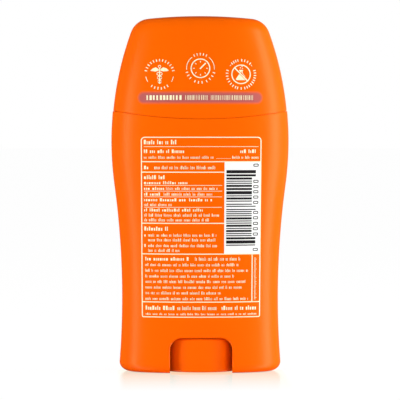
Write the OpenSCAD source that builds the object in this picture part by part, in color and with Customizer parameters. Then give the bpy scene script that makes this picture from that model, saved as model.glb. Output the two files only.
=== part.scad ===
/* [Outline] */
// Widest width, at the shoulder
body_w = 60.4; // [50:0.2:72]
// Widest depth, at the shoulder
body_d = 32; // [26:0.5:38]
// Height of the barrel, to the parting line at the middle of the front
barrel_h = 85.65; // [72:0.05:100]
// Height of the cap above the parting line
cap_h = 35.1; // [30:0.1:42]
// How far the widest place lies below the parting line
shoulder_drop = 7.25; // [5:0.05:9]
// Radius of the sides above the shoulder, seen from the front
shoulder_r = 108; // [90:1:125]
// How far each side is drawn in at the waist
waist_in = 3.62; // [2.5:0.02:4.4]
// Height of the waist
waist_z = 25.1; // [22:0.1:30]
// Share of the height from waist to shoulder where the sides are hollow
waist_part = 0.715; // [0.5:0.005:0.8]
// Squareness of the oval plan, where 2 is an ellipse
oval_power = 2.3; // [2.2:0.05:2.6]
// Width that the rounded foot takes off each side
foot_inset = 3.9; // [2:0.1:4]
// Height of the rounded foot
foot_h = 3.4; // [2:0.1:4]

/* [Cap] */
// Radius of the cap's top, seen from the front
dome_r = 166; // [130:1:200]
// Radius of the cap's top corners
corner_r = 6.8; // [5.5:0.1:8]
// Wall of the cap
cap_wall = 1.4; // [1.1:0.05:1.6]
// Radius of the parting line's curve, seen from the front
seam_r = 156; // [135:1:190]
// Height of the ribs that grip the neck
grip_h = 6; // [4:0.5:7]
// Thickness of the ribs that grip the neck
grip_t = 1.2; // [0.8:0.1:1.6]
// Distance between the ribs that grip the neck
grip_pitch = 5.5; // [4:0.5:6.5]
// Least cover over the end of a rib in the cap's wall
grip_cover = 0.3; // [0.2:0.05:0.5]

/* [Neck and tube] */
// Height of the neck above the parting line
neck_h = 9.35; // [8:0.05:11]
// Room between neck and cap at each side
neck_side_room = 1.82; // [1:0.02:3]
// Room between neck and cap at front and back
neck_front_room = 0.55; // [0.4:0.05:2]
// Wall of the tube above the groove
tube_wall = 1.2; // [1:0.1:1.4]
// Wall of the outer shell beside the groove
shell_wall = 1.4; // [1.2:0.1:1.6]
// Depth of the groove round the neck, below the parting line
groove_depth = 14.6; // [8:0.2:20]
// How much narrower the groove gets towards its bottom
groove_draft = 0.2; // [0.1:0.05:0.4]
// How far the neck's bead stands out
bead_h = 0.2; // [0.1:0.05:0.3]
// Width of the neck's bead
bead_w = 1.6; // [1:0.1:2.4]
// Bevel of the neck's rim
neck_edge = 0.4; // [0.2:0.1:0.6]

/* [Skirt and floor] */
// Wall of the skirt round the knob, front and back
skirt_wall = 2.35; // [2.2:0.05:2.8]
// Wall of the skirt at its two ends
skirt_end_wall = 4.5; // [4.2:0.05:5.2]
// Thickness of the floor
floor_t = 1.6; // [1.2:0.1:2.4]
// Bevel between floor and tube
floor_edge = 0.8; // [0.4:0.1:1.2]
// Width of a knob window
window_w = 21; // [17:0.2:23]
// Height of a knob window's top
window_h = 11.8; // [9.8:0.1:13.6]
// Radius of a knob window's top corners
window_r = 4; // [2:0.5:5]
// Distance from a knob window's top to the floor
window_land = 0.1; // [0.1:0.1:1]

/* [Knob] */
// How far the knob stays behind the front face
knob_inset = 0.85; // [0.6:0.05:3]
// Clearance under the knob
knob_lift = 0.3; // [0.2:0.1:1]
// Wall of the knob
knob_wall = 1.5; // [1.2:0.1:2]
// Rounding of the knob's edges
knob_round = 0.7; // [0.4:0.1:0.8]
// Diameter of the knob's socket
socket_d = 10; // [9:0.1:12]
// How far the socket ends above the knob's lower edge
socket_lift = 1; // [0.5:0.1:3]
// Number of ribs under the knob
knob_ribs = 8; // [4:1:12]
// How far the ribs end above the knob's lower edge
knob_rib_lift = 3; // [2:0.1:6]
// Thickness of a rib of knob or elevator
rib_t = 1; // [0.8:0.1:1.4]

/* [Spindle] */
// Outer diameter of the thread
thread_d = 8.8; // [8:0.1:9.6]
// Depth of the thread
thread_depth = 1.4; // [1.1:0.1:1.6]
// Rise of the thread in one turn
thread_pitch = 4; // [3.6:0.1:5]
// Width of the thread at its root
thread_root_w = 1.8; // [1.4:0.1:2]
// Width of the thread at its crest
thread_crest_w = 1; // [0.6:0.1:1.2]
// Distance from the flange to the thread
thread_lift = 0.6; // [0.3:0.1:2]
// Plain length above the thread
tip_l = 1; // [0.5:0.1:2]
// How far the spindle ends below the top of the raised elevator
tip_depth = 1; // [0:0.1:3]
// Diameter of the journal that runs in the floor
journal_d = 8; // [7.6:0.1:9]
// Width of the square that drives the spindle
square_w = 5.2; // [4.4:0.1:5.4]
// How far the square ends above the knob's lower edge
square_lift = 2; // [1:0.1:4]
// Diameter of the flange on the floor
flange_d = 14; // [12:0.5:17]
// Thickness of the flange on the floor
flange_t = 1; // [0.8:0.1:1.6]

/* [Elevator] */
// Height of the elevator, with its hub
elevator_h = 9; // [7:0.5:11]
// Thickness of the elevator's crown
crown_t = 1.6; // [1.2:0.1:2.4]
// Wall of the elevator's skirt
elevator_wall = 1.2; // [1:0.1:1.6]
// How far the skirt ends above the hub
skirt_lift = 1; // [0.5:0.1:2]
// Height of a sealing lip
lip_h = 1; // [0.6:0.1:1.4]
// How far a sealing lip stands out
lip_depth = 0.3; // [0.2:0.05:0.5]
// Height of the ribs under the crown
elevator_rib_h = 3; // [2:0.1:5]
// Outer diameter of the threaded hub
hub_d = 12.4; // [12:0.1:14]
// Distance from either end of the hub to its thread
nut_inset = 1.4; // [1:0.1:2]
// Cream left above the elevator when it is all the way up
cream_left = 2.2; // [1:0.1:6]

/* [Applicator] */
// Height of the applicator above the neck
applicator_h = 10.5; // [8.5:0.1:12.5]
// Wall of the applicator and its plug
applicator_wall = 1.3; // [1:0.1:1.6]
// Depth of the plug that fits in the tube
plug_h = 5; // [3:0.5:7]
// Height of the applicator's flange
rim_h = 1.2; // [0.8:0.1:2]
// How far the flange stays inside the neck's outside
rim_set = 0.1; // [0:0.05:0.3]
// Step from the flange to the dome
rim_step = 0.5; // [0.3:0.1:1]
// Bevel of the flange
rim_edge = 0.4; // [0.2:0.1:0.6]
// Diameter of a hole in the applicator
hole_d = 2.6; // [2:0.1:3.2]
// Distance between the holes of a row
hole_pitch = 5.4; // [4.6:0.1:6.4]
// Distance between the rows of holes
row_pitch = 4.65; // [4:0.05:5.5]

/* [Print] */
// Room beside the printed panel, measured at the shoulder
panel_side = 10.2; // [8:0.2:14]
// Height of the panel's lower edge
panel_z = 18.9; // [16:0.1:23]
// Distance from the parting line down to the panel
panel_drop = 5.95; // [5:0.05:8]
// How far the cap's print lies off the middle
print_shift = -0.3; // [-0.8:0.1:0.8]
// Width of a thick printed line
line_w = 0.4; // [0.3:0.05:0.6]
// Width of a thin printed line
thin_w = 0.2; // [0.15:0.05:0.3]
// How far the thin lines stay from what is beside them
line_inset = 1; // [0.5:0.1:2]
// Width of the white field for the bar code
code_w = 12.2; // [10:0.2:14]
// Height of the white field for the bar code
code_h = 30.9; // [26:0.1:36]
// Distance from the panel's top to the white field
code_drop = 8.35; // [7:0.05:9.6]
// White left above and below the bars
bar_margin = 2.8; // [2:0.1:4]
// White left at the start of the bars
bar_inset = 0.7; // [0.4:0.1:1]
// Length of a bar
bar_l = 8.6; // [7:0.1:9]
// Number of bars
bar_count = 16; // [8:1:30]
// Room beside the band on the cap, measured at the shoulder
band_side = 9.4; // [8:0.1:14]
// Height of the band on the cap
band_h = 3.8; // [3:0.1:4.5]
// Height of the band's middle above the parting line
band_up = 7.2; // [6.2:0.1:9]
// Radius of a round sign on the cap
sign_r = 4.9; // [4:0.1:5.6]
// Distance between the round signs
sign_pitch = 13.7; // [11.5:0.1:16]
// Height of the middle sign above the parting line
sign_up = 17.05; // [15:0.05:19]
// How much lower the outer signs lie
sign_drop = 2; // [0:0.1:2.5]

/* [Fits] */
// Clearance round a piece that slides
slide_gap = 0.15; // [0.1:0.01:0.2]
// Clearance between faces that lie on each other
seat_gap = 0.15; // [0.1:0.01:0.25]
// Radial clearance of the journal
journal_gap = 0.05; // [0.02:0.01:0.1]
// Clearance between the thread and its nut
thread_gap = 0.22; // [0.18:0.01:0.25]
// Clearance between the knob and the floor
knob_gap = 0.3; // [0.2:0.05:0.5]
// Clearance behind a printed skin
ink_gap = 0.09; // [0.07:0.01:0.12]
// Thickness of a printed skin
ink_t = 0.06; // [0.05:0.01:0.1]

/* [Hidden] */
$fn = 64;
full = 360;
// How far a cutting shape runs past what it cuts.
cut = 0.5;
// How far joined shapes run into each other.
sink = 0.25;
// Gap between the stretches of one printed skin.
print_gap = 0.05;
// Stretch beside the parting line in which the ovals take up its curve.
bend_h = 4;
// Largest size of a printed skin's facets, across and up.
skin_step = [3, 8];
plan_points = 48;
foot_steps = 4;
wall_steps = 9;
cap_steps = 5;
dome_steps = 6;
dome_turn = 78;
thread_steps = 18;

function sag(r, d) = r - sqrt(r * r - d * d);

// The side of the body is three arcs that run into each other: waist, flank and shoulder.
seam_z = barrel_h;
total_h = barrel_h + cap_h;
shoulder_z = seam_z - shoulder_drop;
oval_ratio = body_d / body_w;
flank_rise = shoulder_z - waist_z;
flank_radii = (pow(flank_rise, 2) + pow(waist_in, 2)) / (2 * waist_in);
waist_r = flank_radii * waist_part;
flank_r = flank_radii - waist_r;
flank_z = waist_z + flank_rise * waist_part;

function half_w(z) =
    z < flank_z ? body_w / 2 - waist_in + sag(waist_r, z - waist_z)
    : body_w / 2 - sag(z < shoulder_z ? flank_r : shoulder_r, z - shoulder_z);
function half_d(z) = half_w(z) * oval_ratio;
rim_w = half_w(seam_z + sag(seam_r, body_w / 2));

// The corner's arc touches the top's arc and the shoulder's arc.
dome_centre = [0, total_h - dome_r];
shoulder_centre = [body_w / 2 - shoulder_r, shoulder_z];
centre_line = shoulder_centre - dome_centre;
centre_gap = norm(centre_line);
along = (pow(dome_r - corner_r, 2) - pow(shoulder_r - corner_r, 2) + pow(centre_gap, 2))
    / (2 * centre_gap);
across = sqrt(pow(dome_r - corner_r, 2) - along * along);
unit = centre_line / centre_gap;
corner_centre = dome_centre + along * unit + across * [unit[1], -unit[0]];
corner_from = atan2(corner_centre[1] - shoulder_centre[1], corner_centre[0] - shoulder_centre[0]);
corner_to = atan2(corner_centre[1] - dome_centre[1], corner_centre[0] - dome_centre[0]);

// The tube takes the room that the cap leaves at the neck's rim. Pairs are [half width, half depth].
neck_z = seam_z + neck_h;
neck = [half_w(neck_z) - cap_wall - neck_side_room, half_d(neck_z) - cap_wall - neck_front_room];
tube = neck - [tube_wall, tube_wall];
slider = tube - [slide_gap, slide_gap];
plug_bore = slider - [applicator_wall, applicator_wall];

// Heights that follow from the sizes above.
floor_z = window_h + window_land;
floor_top = floor_z + floor_t;
knob_top = floor_z - knob_gap;
flange_z = floor_top + seat_gap;
thread_z = flange_z + flange_t + thread_lift;
hub_z = flange_z + flange_t + seat_gap;
crown_top = hub_z + elevator_h;
plug_z = neck_z - plug_h;
travel = plug_z - crown_top - cream_left;
spindle_top = crown_top + travel - tip_depth;
seat_z = neck_z + seat_gap;
dome_z = seat_z + rim_h;
dome_rise = applicator_h - rim_h;

thread_r = thread_d / 2;
core_r = thread_r - thread_depth;
knob_r = half_d(foot_h) - knob_inset;

// A ring is [half width, half depth, height, share of the parting line's curve].
function oval_point(a, b, t) =
    [a * sign(cos(t)) * pow(abs(cos(t)), 2 / oval_power),
     b * sign(sin(t)) * pow(abs(sin(t)), 2 / oval_power)];
function ring_points(ring) =
    [for (i = [0 : plan_points - 1])
        let (p = oval_point(ring[0], ring[1], full * i / plan_points))
        [p[0], p[1], ring[2] + ring[3] * p[0] * p[0] / (2 * seam_r)]];
function end_of_oval(a, b, y) = a * pow(1 - pow(abs(y) / b, oval_power), 1 / oval_power);

// Ovals joined one to the next, and closed flat at both ends.
module loft(rings) {
    n = plan_points;
    last = len(rings) - 1;
    points = [for (ring = rings) each ring_points(ring)];
    walls = [for (k = [0 : last - 1], i = [0 : n - 1])
        let (j = (i + 1) % n)
        each [[k * n + i, k * n + n + j, k * n + j], [k * n + i, k * n + n + i, k * n + n + j]]];
    bottom = [for (i = [0 : n - 1]) i];
    top = [for (i = [n - 1 : -1 : 0]) last * n + i];
    polyhedron(points, concat([bottom, top], walls), convexity = 6);
}

// Rings of a dome, from its foot to near its top.
function dome(foot, z) =
    [for (k = [0 : dome_steps])
        let (t = dome_turn * k / dome_steps)
        [foot[0] * cos(t), foot[1] * cos(t), z + dome_rise * sin(t), 0]];
function reversed(rows) = [for (k = [len(rows) - 1 : -1 : 0]) rows[k]];

// A trapezoid ridge on a left-hand helix, thin at both ends so that it starts gently.
module helix(from_r, to_r, from_w, to_w, z, turns) {
    steps = ceil(turns * thread_steps);
    points = [for (k = [0 : steps])
        let (
            fade = max(0.05, min(1, 2 * k / thread_steps, 2 * (steps - k) / thread_steps)),
            r = from_r + (to_r - from_r) * fade,
            w = from_w + (to_w - from_w) * fade,
            t = -full * k / thread_steps,
            h = z + thread_pitch * k / thread_steps,
            way = to_r > from_r ? 1 : -1
        )
        each [for (p = [[from_r, -from_w], [r, -w], [r, w], [from_r, from_w]])
            [p[0] * cos(t), p[0] * sin(t), h + way * p[1] / 2]]];
    sides = [for (k = [0 : steps - 1], j = [0 : 3])
        let (m = (j + 1) % 4)
        each [[4 * k + j, 4 * k + 4 + m, 4 * k + m], [4 * k + j, 4 * k + 4 + j, 4 * k + 4 + m]]];
    polyhedron(points, concat([[0, 1, 2, 3], [for (j = [3 : -1 : 0]) 4 * steps + j]], sides));
}

// A thin skin on the front of the body, over rows of [x, z]. Closed rows meet in a circle.
function front_y(x, z) = -end_of_oval(half_d(z), half_w(z), x);
module skin(rows, closed = false) {
    n = len(rows);
    m = len(rows[0]);
    size = n * m;
    points = [for (off = [ink_gap, ink_gap + ink_t], row = rows, p = row)
        [p[0], front_y(p[0], p[1]) - off, p[1]]];
    quads = [for (i = [0 : n - (closed ? 1 : 2)], j = [0 : m - 2])
        let (a = i * m + j, b = (i + 1) % n * m + j)
        each [[a, b, b + 1, a + 1], [size + a, size + a + 1, size + b + 1, size + b]]];
    sides = [for (i = [0 : n - (closed ? 1 : 2)], j = [0, m - 1])
        let (a = i * m + j, b = (i + 1) % n * m + j, q = [a, size + a, size + b, b])
        j == 0 ? q : [q[3], q[2], q[1], q[0]]];
    ends = closed ? [] : [for (i = [0, n - 1], j = [0 : m - 2])
        let (a = i * m + j, q = [a, a + 1, size + a + 1, size + a])
        i == 0 ? q : [q[3], q[2], q[1], q[0]]];
    triangles = [for (q = concat(quads, sides, ends)) each [[q[0], q[1], q[2]], [q[0], q[2], q[3]]]];
    polyhedron(points, triangles, convexity = 4);
}

module field(x0, x1, z0, z1) {
    nx = ceil((x1 - x0) / skin_step[0]);
    nz = ceil((z1 - z0) / skin_step[1]);
    skin([for (i = [0 : nx]) [for (k = [0 : nz]) [x0 + (x1 - x0) * i / nx, z0 + (z1 - z0) * k / nz]]]);
}

module printed_ring(x, z, r, w) {
    n = 20;
    skin([for (i = [0 : n - 1])
        let (t = -full * i / n)
        [for (q = [r - w, r]) [x + q * cos(t), z + q * sin(t)]]], closed = true);
}

module arch(width, height, r, length) {
    rotate([90, 0, 0]) linear_extrude(length, center = true) {
        translate([-width / 2, -cut]) square([width, height - r + cut]);
        translate([-width / 2 + r, -cut]) square([width - 2 * r, height + cut]);
        for (side = [-1, 1]) translate([side * (width / 2 - r), height - r]) circle(r);
    }
}

module barrel() {
    foot_w = half_w(foot_h);
    skirt = [foot_w - skirt_end_wall, foot_w * oval_ratio - skirt_wall];
    bead = neck + [bead_h, bead_h];
    bead_z = (seam_z + neck_z) / 2;
    groove_z = seam_z - groove_depth;
    groove_wall = shell_wall + groove_draft;
    top_z = seam_z - bend_h;
    rings = concat(
        [[skirt[0], skirt[1], floor_z, 0], [skirt[0], skirt[1], 0, 0]],
        [for (k = [0 : foot_steps - 1])
            let (t = 90 * k / foot_steps, a = foot_w - foot_inset * (1 - sin(t)))
            [a, a * oval_ratio, foot_h * (1 - cos(t)), 0]],
        [for (k = [0 : wall_steps])
            let (z = foot_h + (top_z - foot_h) * k / wall_steps)
            [half_w(z), half_d(z), z, 0]],
        [[rim_w, rim_w * oval_ratio, seam_z, 1],
         [rim_w - shell_wall, rim_w * oval_ratio - shell_wall, seam_z, 1],
         [half_w(groove_z) - groove_wall, half_d(groove_z) - groove_wall, groove_z, 0],
         [neck[0], neck[1], groove_z, 0],
         [neck[0], neck[1], bead_z - bead_w / 2, 0],
         [bead[0], bead[1], bead_z, 0],
         [neck[0], neck[1], bead_z + bead_w / 2, 0],
         [neck[0], neck[1], neck_z - neck_edge, 0],
         [neck[0] - neck_edge, neck[1] - neck_edge, neck_z, 0],
         [tube[0], tube[1], neck_z, 0],
         [tube[0], tube[1], floor_top + floor_edge, 0],
         [tube[0] - floor_edge, tube[1] - floor_edge, floor_top, 0]]
    );
    color([1, 0.42, 0.02]) difference() {
        loft(rings);
        arch(window_w, window_h, window_r, body_d + 2 * cut);
        translate([0, 0, floor_z - cut]) cylinder(r = journal_d / 2 + journal_gap, h = floor_t + 2 * cut);
    }
}

module cap() {
    rim_z = seam_z + seat_gap;
    low_z = rim_z + bend_h;
    side_z = corner_centre[1] + corner_r * sin(corner_from);
    // Each profile row is [half width, height, slope of the outside].
    profile = concat(
        [for (k = [0 : cap_steps])
            let (z = low_z + (side_z - low_z) * k / cap_steps)
            [half_w(z), z, asin((z - shoulder_z) / shoulder_r)]],
        [for (k = [1 : cap_steps])
            let (t = corner_from + (corner_to - corner_from) * k / cap_steps)
            [corner_centre[0] + corner_r * cos(t), corner_centre[1] + corner_r * sin(t), t]],
        [for (share = [0.72, 0.42, 0.12])
            let (a = share * corner_centre[0])
            [a, total_h - sag(dome_r, a), 90 - asin(a / dome_r)]]
    );
    outside = [for (row = profile) [row[0], row[0] * oval_ratio, row[1], 0]];
    inside = [for (row = reversed(profile))
        let (off = cap_wall * cos(row[2]))
        [row[0] - off, row[0] * oval_ratio - off, row[1] - cap_wall * sin(row[2]), 0]];
    rim = [for (off = [cap_wall, 0]) [rim_w - off, rim_w * oval_ratio - off, rim_z, 1]];
    grip_z = seam_z + pow(rim_w, 2) / (2 * seam_r) + 2 * seat_gap;
    clear = neck + (bead_h + slide_gap) * [1, 1];
    color([1, 0.42, 0.02]) union() {
        loft(concat(inside, rim, outside));
        for (side = [0, 180], y = [-grip_pitch, 0, grip_pitch])
            let (
                near = end_of_oval(clear[0], clear[1], abs(y) - grip_t / 2),
                far = end_of_oval(half_w(grip_z + grip_h), half_d(grip_z + grip_h), abs(y) + grip_t / 2)
            )
            rotate([0, 0, side])
                translate([near, y - grip_t / 2, grip_z])
                    cube([far - grip_cover - near, grip_t, grip_h]);
    }
}

module applicator() {
    rim = neck - [rim_set, rim_set];
    crown = rim - [rim_step, rim_step];
    columns = floor((plug_bore[0] - hole_d) / hole_pitch);
    rows = floor((plug_bore[1] - hole_d) / row_pitch);
    color([0.98, 0.97, 0.95]) difference() {
        loft(concat(
            reversed(dome(plug_bore, dome_z - applicator_wall)),
            [[plug_bore[0], plug_bore[1], plug_z, 0],
             [slider[0], slider[1], plug_z, 0],
             [slider[0], slider[1], seat_z, 0],
             [rim[0], rim[1], seat_z, 0],
             [rim[0], rim[1], dome_z - rim_edge, 0]],
            dome(crown, dome_z)
        ));
        for (row = [-rows : rows], k = [-columns : columns])
            if (row % 2 == 0 || k < columns)
                translate([(k + abs(row % 2) / 2) * hole_pitch, row * row_pitch, plug_z])
                    cylinder(d = hole_d, h = applicator_h + plug_h + cut);
    }
}

// The cream under the dome stays where it is.
module cream_head() {
    side = plug_bore - [slide_gap, slide_gap];
    color([0.97, 0.96, 0.93]) loft(concat(
        [[side[0], side[1], plug_z + seat_gap, 0]],
        dome(side, dome_z - applicator_wall - slide_gap)
    ));
}

// The cream between the elevator and the dome gets shorter as the elevator rises.
module cream_column() {
    color([0.97, 0.96, 0.93]) difference() {
        loft([
            [slider[0], slider[1], crown_top + seat_gap, 0],
            [slider[0], slider[1], plug_z - seat_gap, 0]
        ]);
        translate([0, 0, crown_top - cut])
            cylinder(r = thread_r + slide_gap, h = spindle_top - crown_top + 2 * cut);
    }
}

module elevator() {
    inner = slider - [elevator_wall, elevator_wall];
    lip = slider - [lip_depth, lip_depth];
    skirt_z = hub_z + skirt_lift;
    crown_z = crown_top - crown_t;
    color([0.97, 0.97, 0.96]) {
        difference() {
            union() {
                loft([
                    [inner[0], inner[1], crown_z, 0],
                    [inner[0], inner[1], skirt_z, 0],
                    [slider[0], slider[1], skirt_z, 0],
                    [slider[0], slider[1], skirt_z + lip_h, 0],
                    [lip[0], lip[1], skirt_z + lip_h + 2 * lip_depth, 0],
                    [lip[0], lip[1], crown_top - lip_h - 2 * lip_depth, 0],
                    [slider[0], slider[1], crown_top - lip_h, 0],
                    [slider[0], slider[1], crown_top, 0]
                ]);
                translate([0, 0, hub_z]) cylinder(d = hub_d, h = crown_z - hub_z + cut);
                for (k = [0, 1])
                    let (reach = inner[k] + sink)
                    rotate([0, 0, 90 * k])
                        translate([-reach, -rib_t / 2, crown_z - elevator_rib_h])
                            cube([2 * reach, rib_t, elevator_rib_h + cut]);
            }
            translate([0, 0, hub_z - cut]) cylinder(r = thread_r + thread_gap, h = elevator_h + 2 * cut);
        }
        nut();
    }
}

// The ridge in the hub's bore lies in the spindle's groove, midway between two turns of the thread at rest.
module nut() {
    nut_z = hub_z + nut_inset;
    turns = (elevator_h - 2 * nut_inset) / thread_pitch;
    flank = (thread_root_w - thread_crest_w) / thread_depth;
    root_w = thread_pitch - thread_crest_w - 2 * thread_gap;
    tip_w = thread_pitch - thread_root_w + flank * thread_gap - 2 * thread_gap;
    lead = (nut_z - thread_z) / thread_pitch - 0.5;
    rotate([0, 0, -full * (lead - floor(lead))])
        helix(thread_r + thread_gap + sink, core_r + thread_gap, root_w, tip_w, nut_z, turns);
}

module spindle() {
    square_z = knob_lift + square_lift;
    color([0.95, 0.95, 0.94]) union() {
        translate([0, 0, flange_z]) cylinder(r = core_r, h = spindle_top - flange_z);
        translate([0, 0, flange_z]) cylinder(d = flange_d, h = flange_t);
        translate([0, 0, knob_top + seat_gap]) cylinder(d = journal_d, h = flange_z - knob_top);
        translate([-square_w / 2, -square_w / 2, square_z])
            cube([square_w, square_w, flange_z - square_z]);
        helix(core_r - sink, thread_r, thread_root_w, thread_crest_w, thread_z,
            (spindle_top - tip_l - thread_z) / thread_pitch);
    }
}

module knob() {
    height = knob_top - knob_lift;
    roof = height - knob_wall;
    bore_r = knob_r - knob_wall;
    socket_w = square_w + 2 * slide_gap;
    color([1, 0.42, 0.02]) translate([0, 0, knob_lift]) difference() {
        union() {
            difference() {
                rotate_extrude() {
                    square([knob_r - knob_round, height]);
                    translate([0, knob_round]) square([knob_r, height - 2 * knob_round]);
                    for (z = [knob_round, height - knob_round])
                        translate([knob_r - knob_round, z]) circle(knob_round);
                }
                translate([0, 0, -cut]) cylinder(r = bore_r, h = roof + cut);
            }
            translate([0, 0, socket_lift]) cylinder(d = socket_d, h = roof - socket_lift + sink);
            for (k = [0 : knob_ribs - 1])
                rotate([0, 0, (k + 0.5) * full / knob_ribs])
                    translate([socket_d / 2 - sink, -rib_t / 2, knob_rib_lift])
                        cube([bore_r - socket_d / 2 + 2 * sink, rib_t, roof - knob_rib_lift + sink]);
        }
        translate([-socket_w / 2, -socket_w / 2, -cut]) cube([socket_w, socket_w, height + 2 * cut]);
    }
}

// A frame, its cross lines, and a white field for the bar code.
panel_w = body_w - 2 * panel_side;
panel_h = seam_z - panel_drop - panel_z;
panel_left = -panel_w / 2;
panel_right = panel_w / 2;
panel_top = panel_z + panel_h;
code_top = panel_top - code_drop;
code_bottom = code_top - code_h;
code_left = panel_right - line_w - code_w;

module panel_print() {
    foot_line = panel_z + panel_h / 12;
    lines = [panel_z, foot_line, code_bottom - line_w, code_top, panel_top - line_w];
    step = code_h / 9;
    color([1, 0.95, 0.85]) {
        for (z = lines)
            field(panel_left, panel_right, z, z + line_w);
        for (k = [0 : len(lines) - 2], x = [panel_left, panel_right - line_w])
            if (k != 2 || x == panel_left)
                field(x, x + line_w, lines[k] + line_w + print_gap, lines[k + 1] - print_gap);
        field(code_left, panel_right, code_bottom + print_gap, code_top - print_gap);
        for (k = [3.3, 7.3])
            field(panel_left + line_w + print_gap, code_left - print_gap,
                code_bottom + step * k, code_bottom + step * k + line_w);
        for (k = [4.3 : 6.3])
            field(panel_left + line_inset, code_left - line_inset,
                code_bottom + step * k, code_bottom + step * k + thin_w);
    }
}

// Bars of four widths in a plain repeated order.
module code_bars() {
    widths = [0.35, 0.7, 0.2, 0.5];
    left = code_left + bar_inset;
    step = (code_h - 2 * bar_margin) / bar_count;
    color([0.1, 0.09, 0.09]) translate([0, -ink_gap - ink_t, 0])
        for (k = [0 : bar_count - 1])
            let (z = code_top - bar_margin - step * k)
            field(left, left + bar_l, z - step * widths[k % len(widths)], z);
}

module cap_signs() {
    color([1, 0.95, 0.85])
        for (k = [-1 : 1])
            let (x = print_shift + k * sign_pitch, z = seam_z + sign_up - abs(k) * sign_drop) {
                printed_ring(x, z, sign_r, line_w * 1.5);
                if (k > -1) printed_ring(x, z, sign_r * 0.66, line_w);
                else field(x - line_w, x + line_w, z - sign_r * 0.6, z + sign_r * 0.6);
            }
}

module cap_band() {
    n = 16;
    r = band_h / 2;
    band_w = body_w - 2 * band_side;
    z = seam_z + band_up;
    color([0.77, 0.4, 0.4])
        skin([for (i = [0 : n])
            let (
                x = -cos(180 * i / n) * band_w / 2.01,
                over = max(0, abs(x) - band_w / 2 + r),
                h = sqrt(r * r - over * over)
            )
            [[print_shift + x, z - h], [print_shift + x, z + h]]]);
}

barrel();
cap();
applicator();
cream_head();
cream_column();
elevator();
spindle();
knob();
panel_print();
code_bars();
cap_signs();
cap_band();
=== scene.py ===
"""A twist-up deodorant stick: smooth shells, print, finishes and a plain studio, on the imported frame."""

import logging
import math
import random
from dataclasses import dataclass, field
from enum import Enum
from typing import Callable, Iterable, NamedTuple, Sequence

import bmesh
import bpy
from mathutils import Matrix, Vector


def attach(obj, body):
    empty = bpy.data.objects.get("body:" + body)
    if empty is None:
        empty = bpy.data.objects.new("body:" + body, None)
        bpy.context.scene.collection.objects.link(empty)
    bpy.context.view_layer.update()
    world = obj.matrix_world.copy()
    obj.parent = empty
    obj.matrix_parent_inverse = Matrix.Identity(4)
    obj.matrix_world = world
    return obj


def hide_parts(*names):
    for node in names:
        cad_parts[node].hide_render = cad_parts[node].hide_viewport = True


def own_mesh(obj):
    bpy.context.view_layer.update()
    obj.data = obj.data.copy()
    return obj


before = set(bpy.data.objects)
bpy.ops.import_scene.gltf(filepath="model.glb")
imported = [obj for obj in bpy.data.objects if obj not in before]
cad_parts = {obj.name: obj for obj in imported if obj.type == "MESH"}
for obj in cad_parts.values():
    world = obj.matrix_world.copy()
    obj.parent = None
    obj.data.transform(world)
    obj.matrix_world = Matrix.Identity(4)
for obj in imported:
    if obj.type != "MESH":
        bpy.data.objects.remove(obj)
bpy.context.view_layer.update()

log = logging.getLogger("deodorant_stick")
MM = 0.001
QUARTER = math.pi / 2
OVAL_POINTS = 144
Pair = tuple[float, float]
Triple = tuple[float, float, float]
Mesh = bpy.types.Object
Tree = bpy.types.NodeTree
Node = bpy.types.Node
Socket = bpy.types.NodeSocket


class Weight(Enum):
    """How heavy a row of printed marks looks: the width of a stroke and of the gap after it."""

    BOLD = (0.3, 0.29)
    LIGHT = (0.12, 0.19)
    TINY = (0.12, 0.16)


class Ring(NamedTuple):
    """One oval of a wall, in millimetres; lift is its share of the parting line's rise."""

    half_width: float
    half_depth: float
    z: float
    lift: float = 0.0


def oval(half: Pair, z: float, grow: float = 0.0) -> Ring:
    """Makes a level oval from its half width and half depth, moved outwards by grow."""
    return Ring(half[0] + grow, half[1] + grow, z)


def spread(start: float, end: float, count: int) -> list[float]:
    """Returns evenly spaced values, both ends included."""
    return [start + (end - start) * k / (count - 1) for k in range(count)]


def sag(radius: float, run: float) -> float:
    """Returns how far an arc of this radius has dropped at this distance from its middle."""
    return radius - math.sqrt(radius * radius - run * run)


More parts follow.
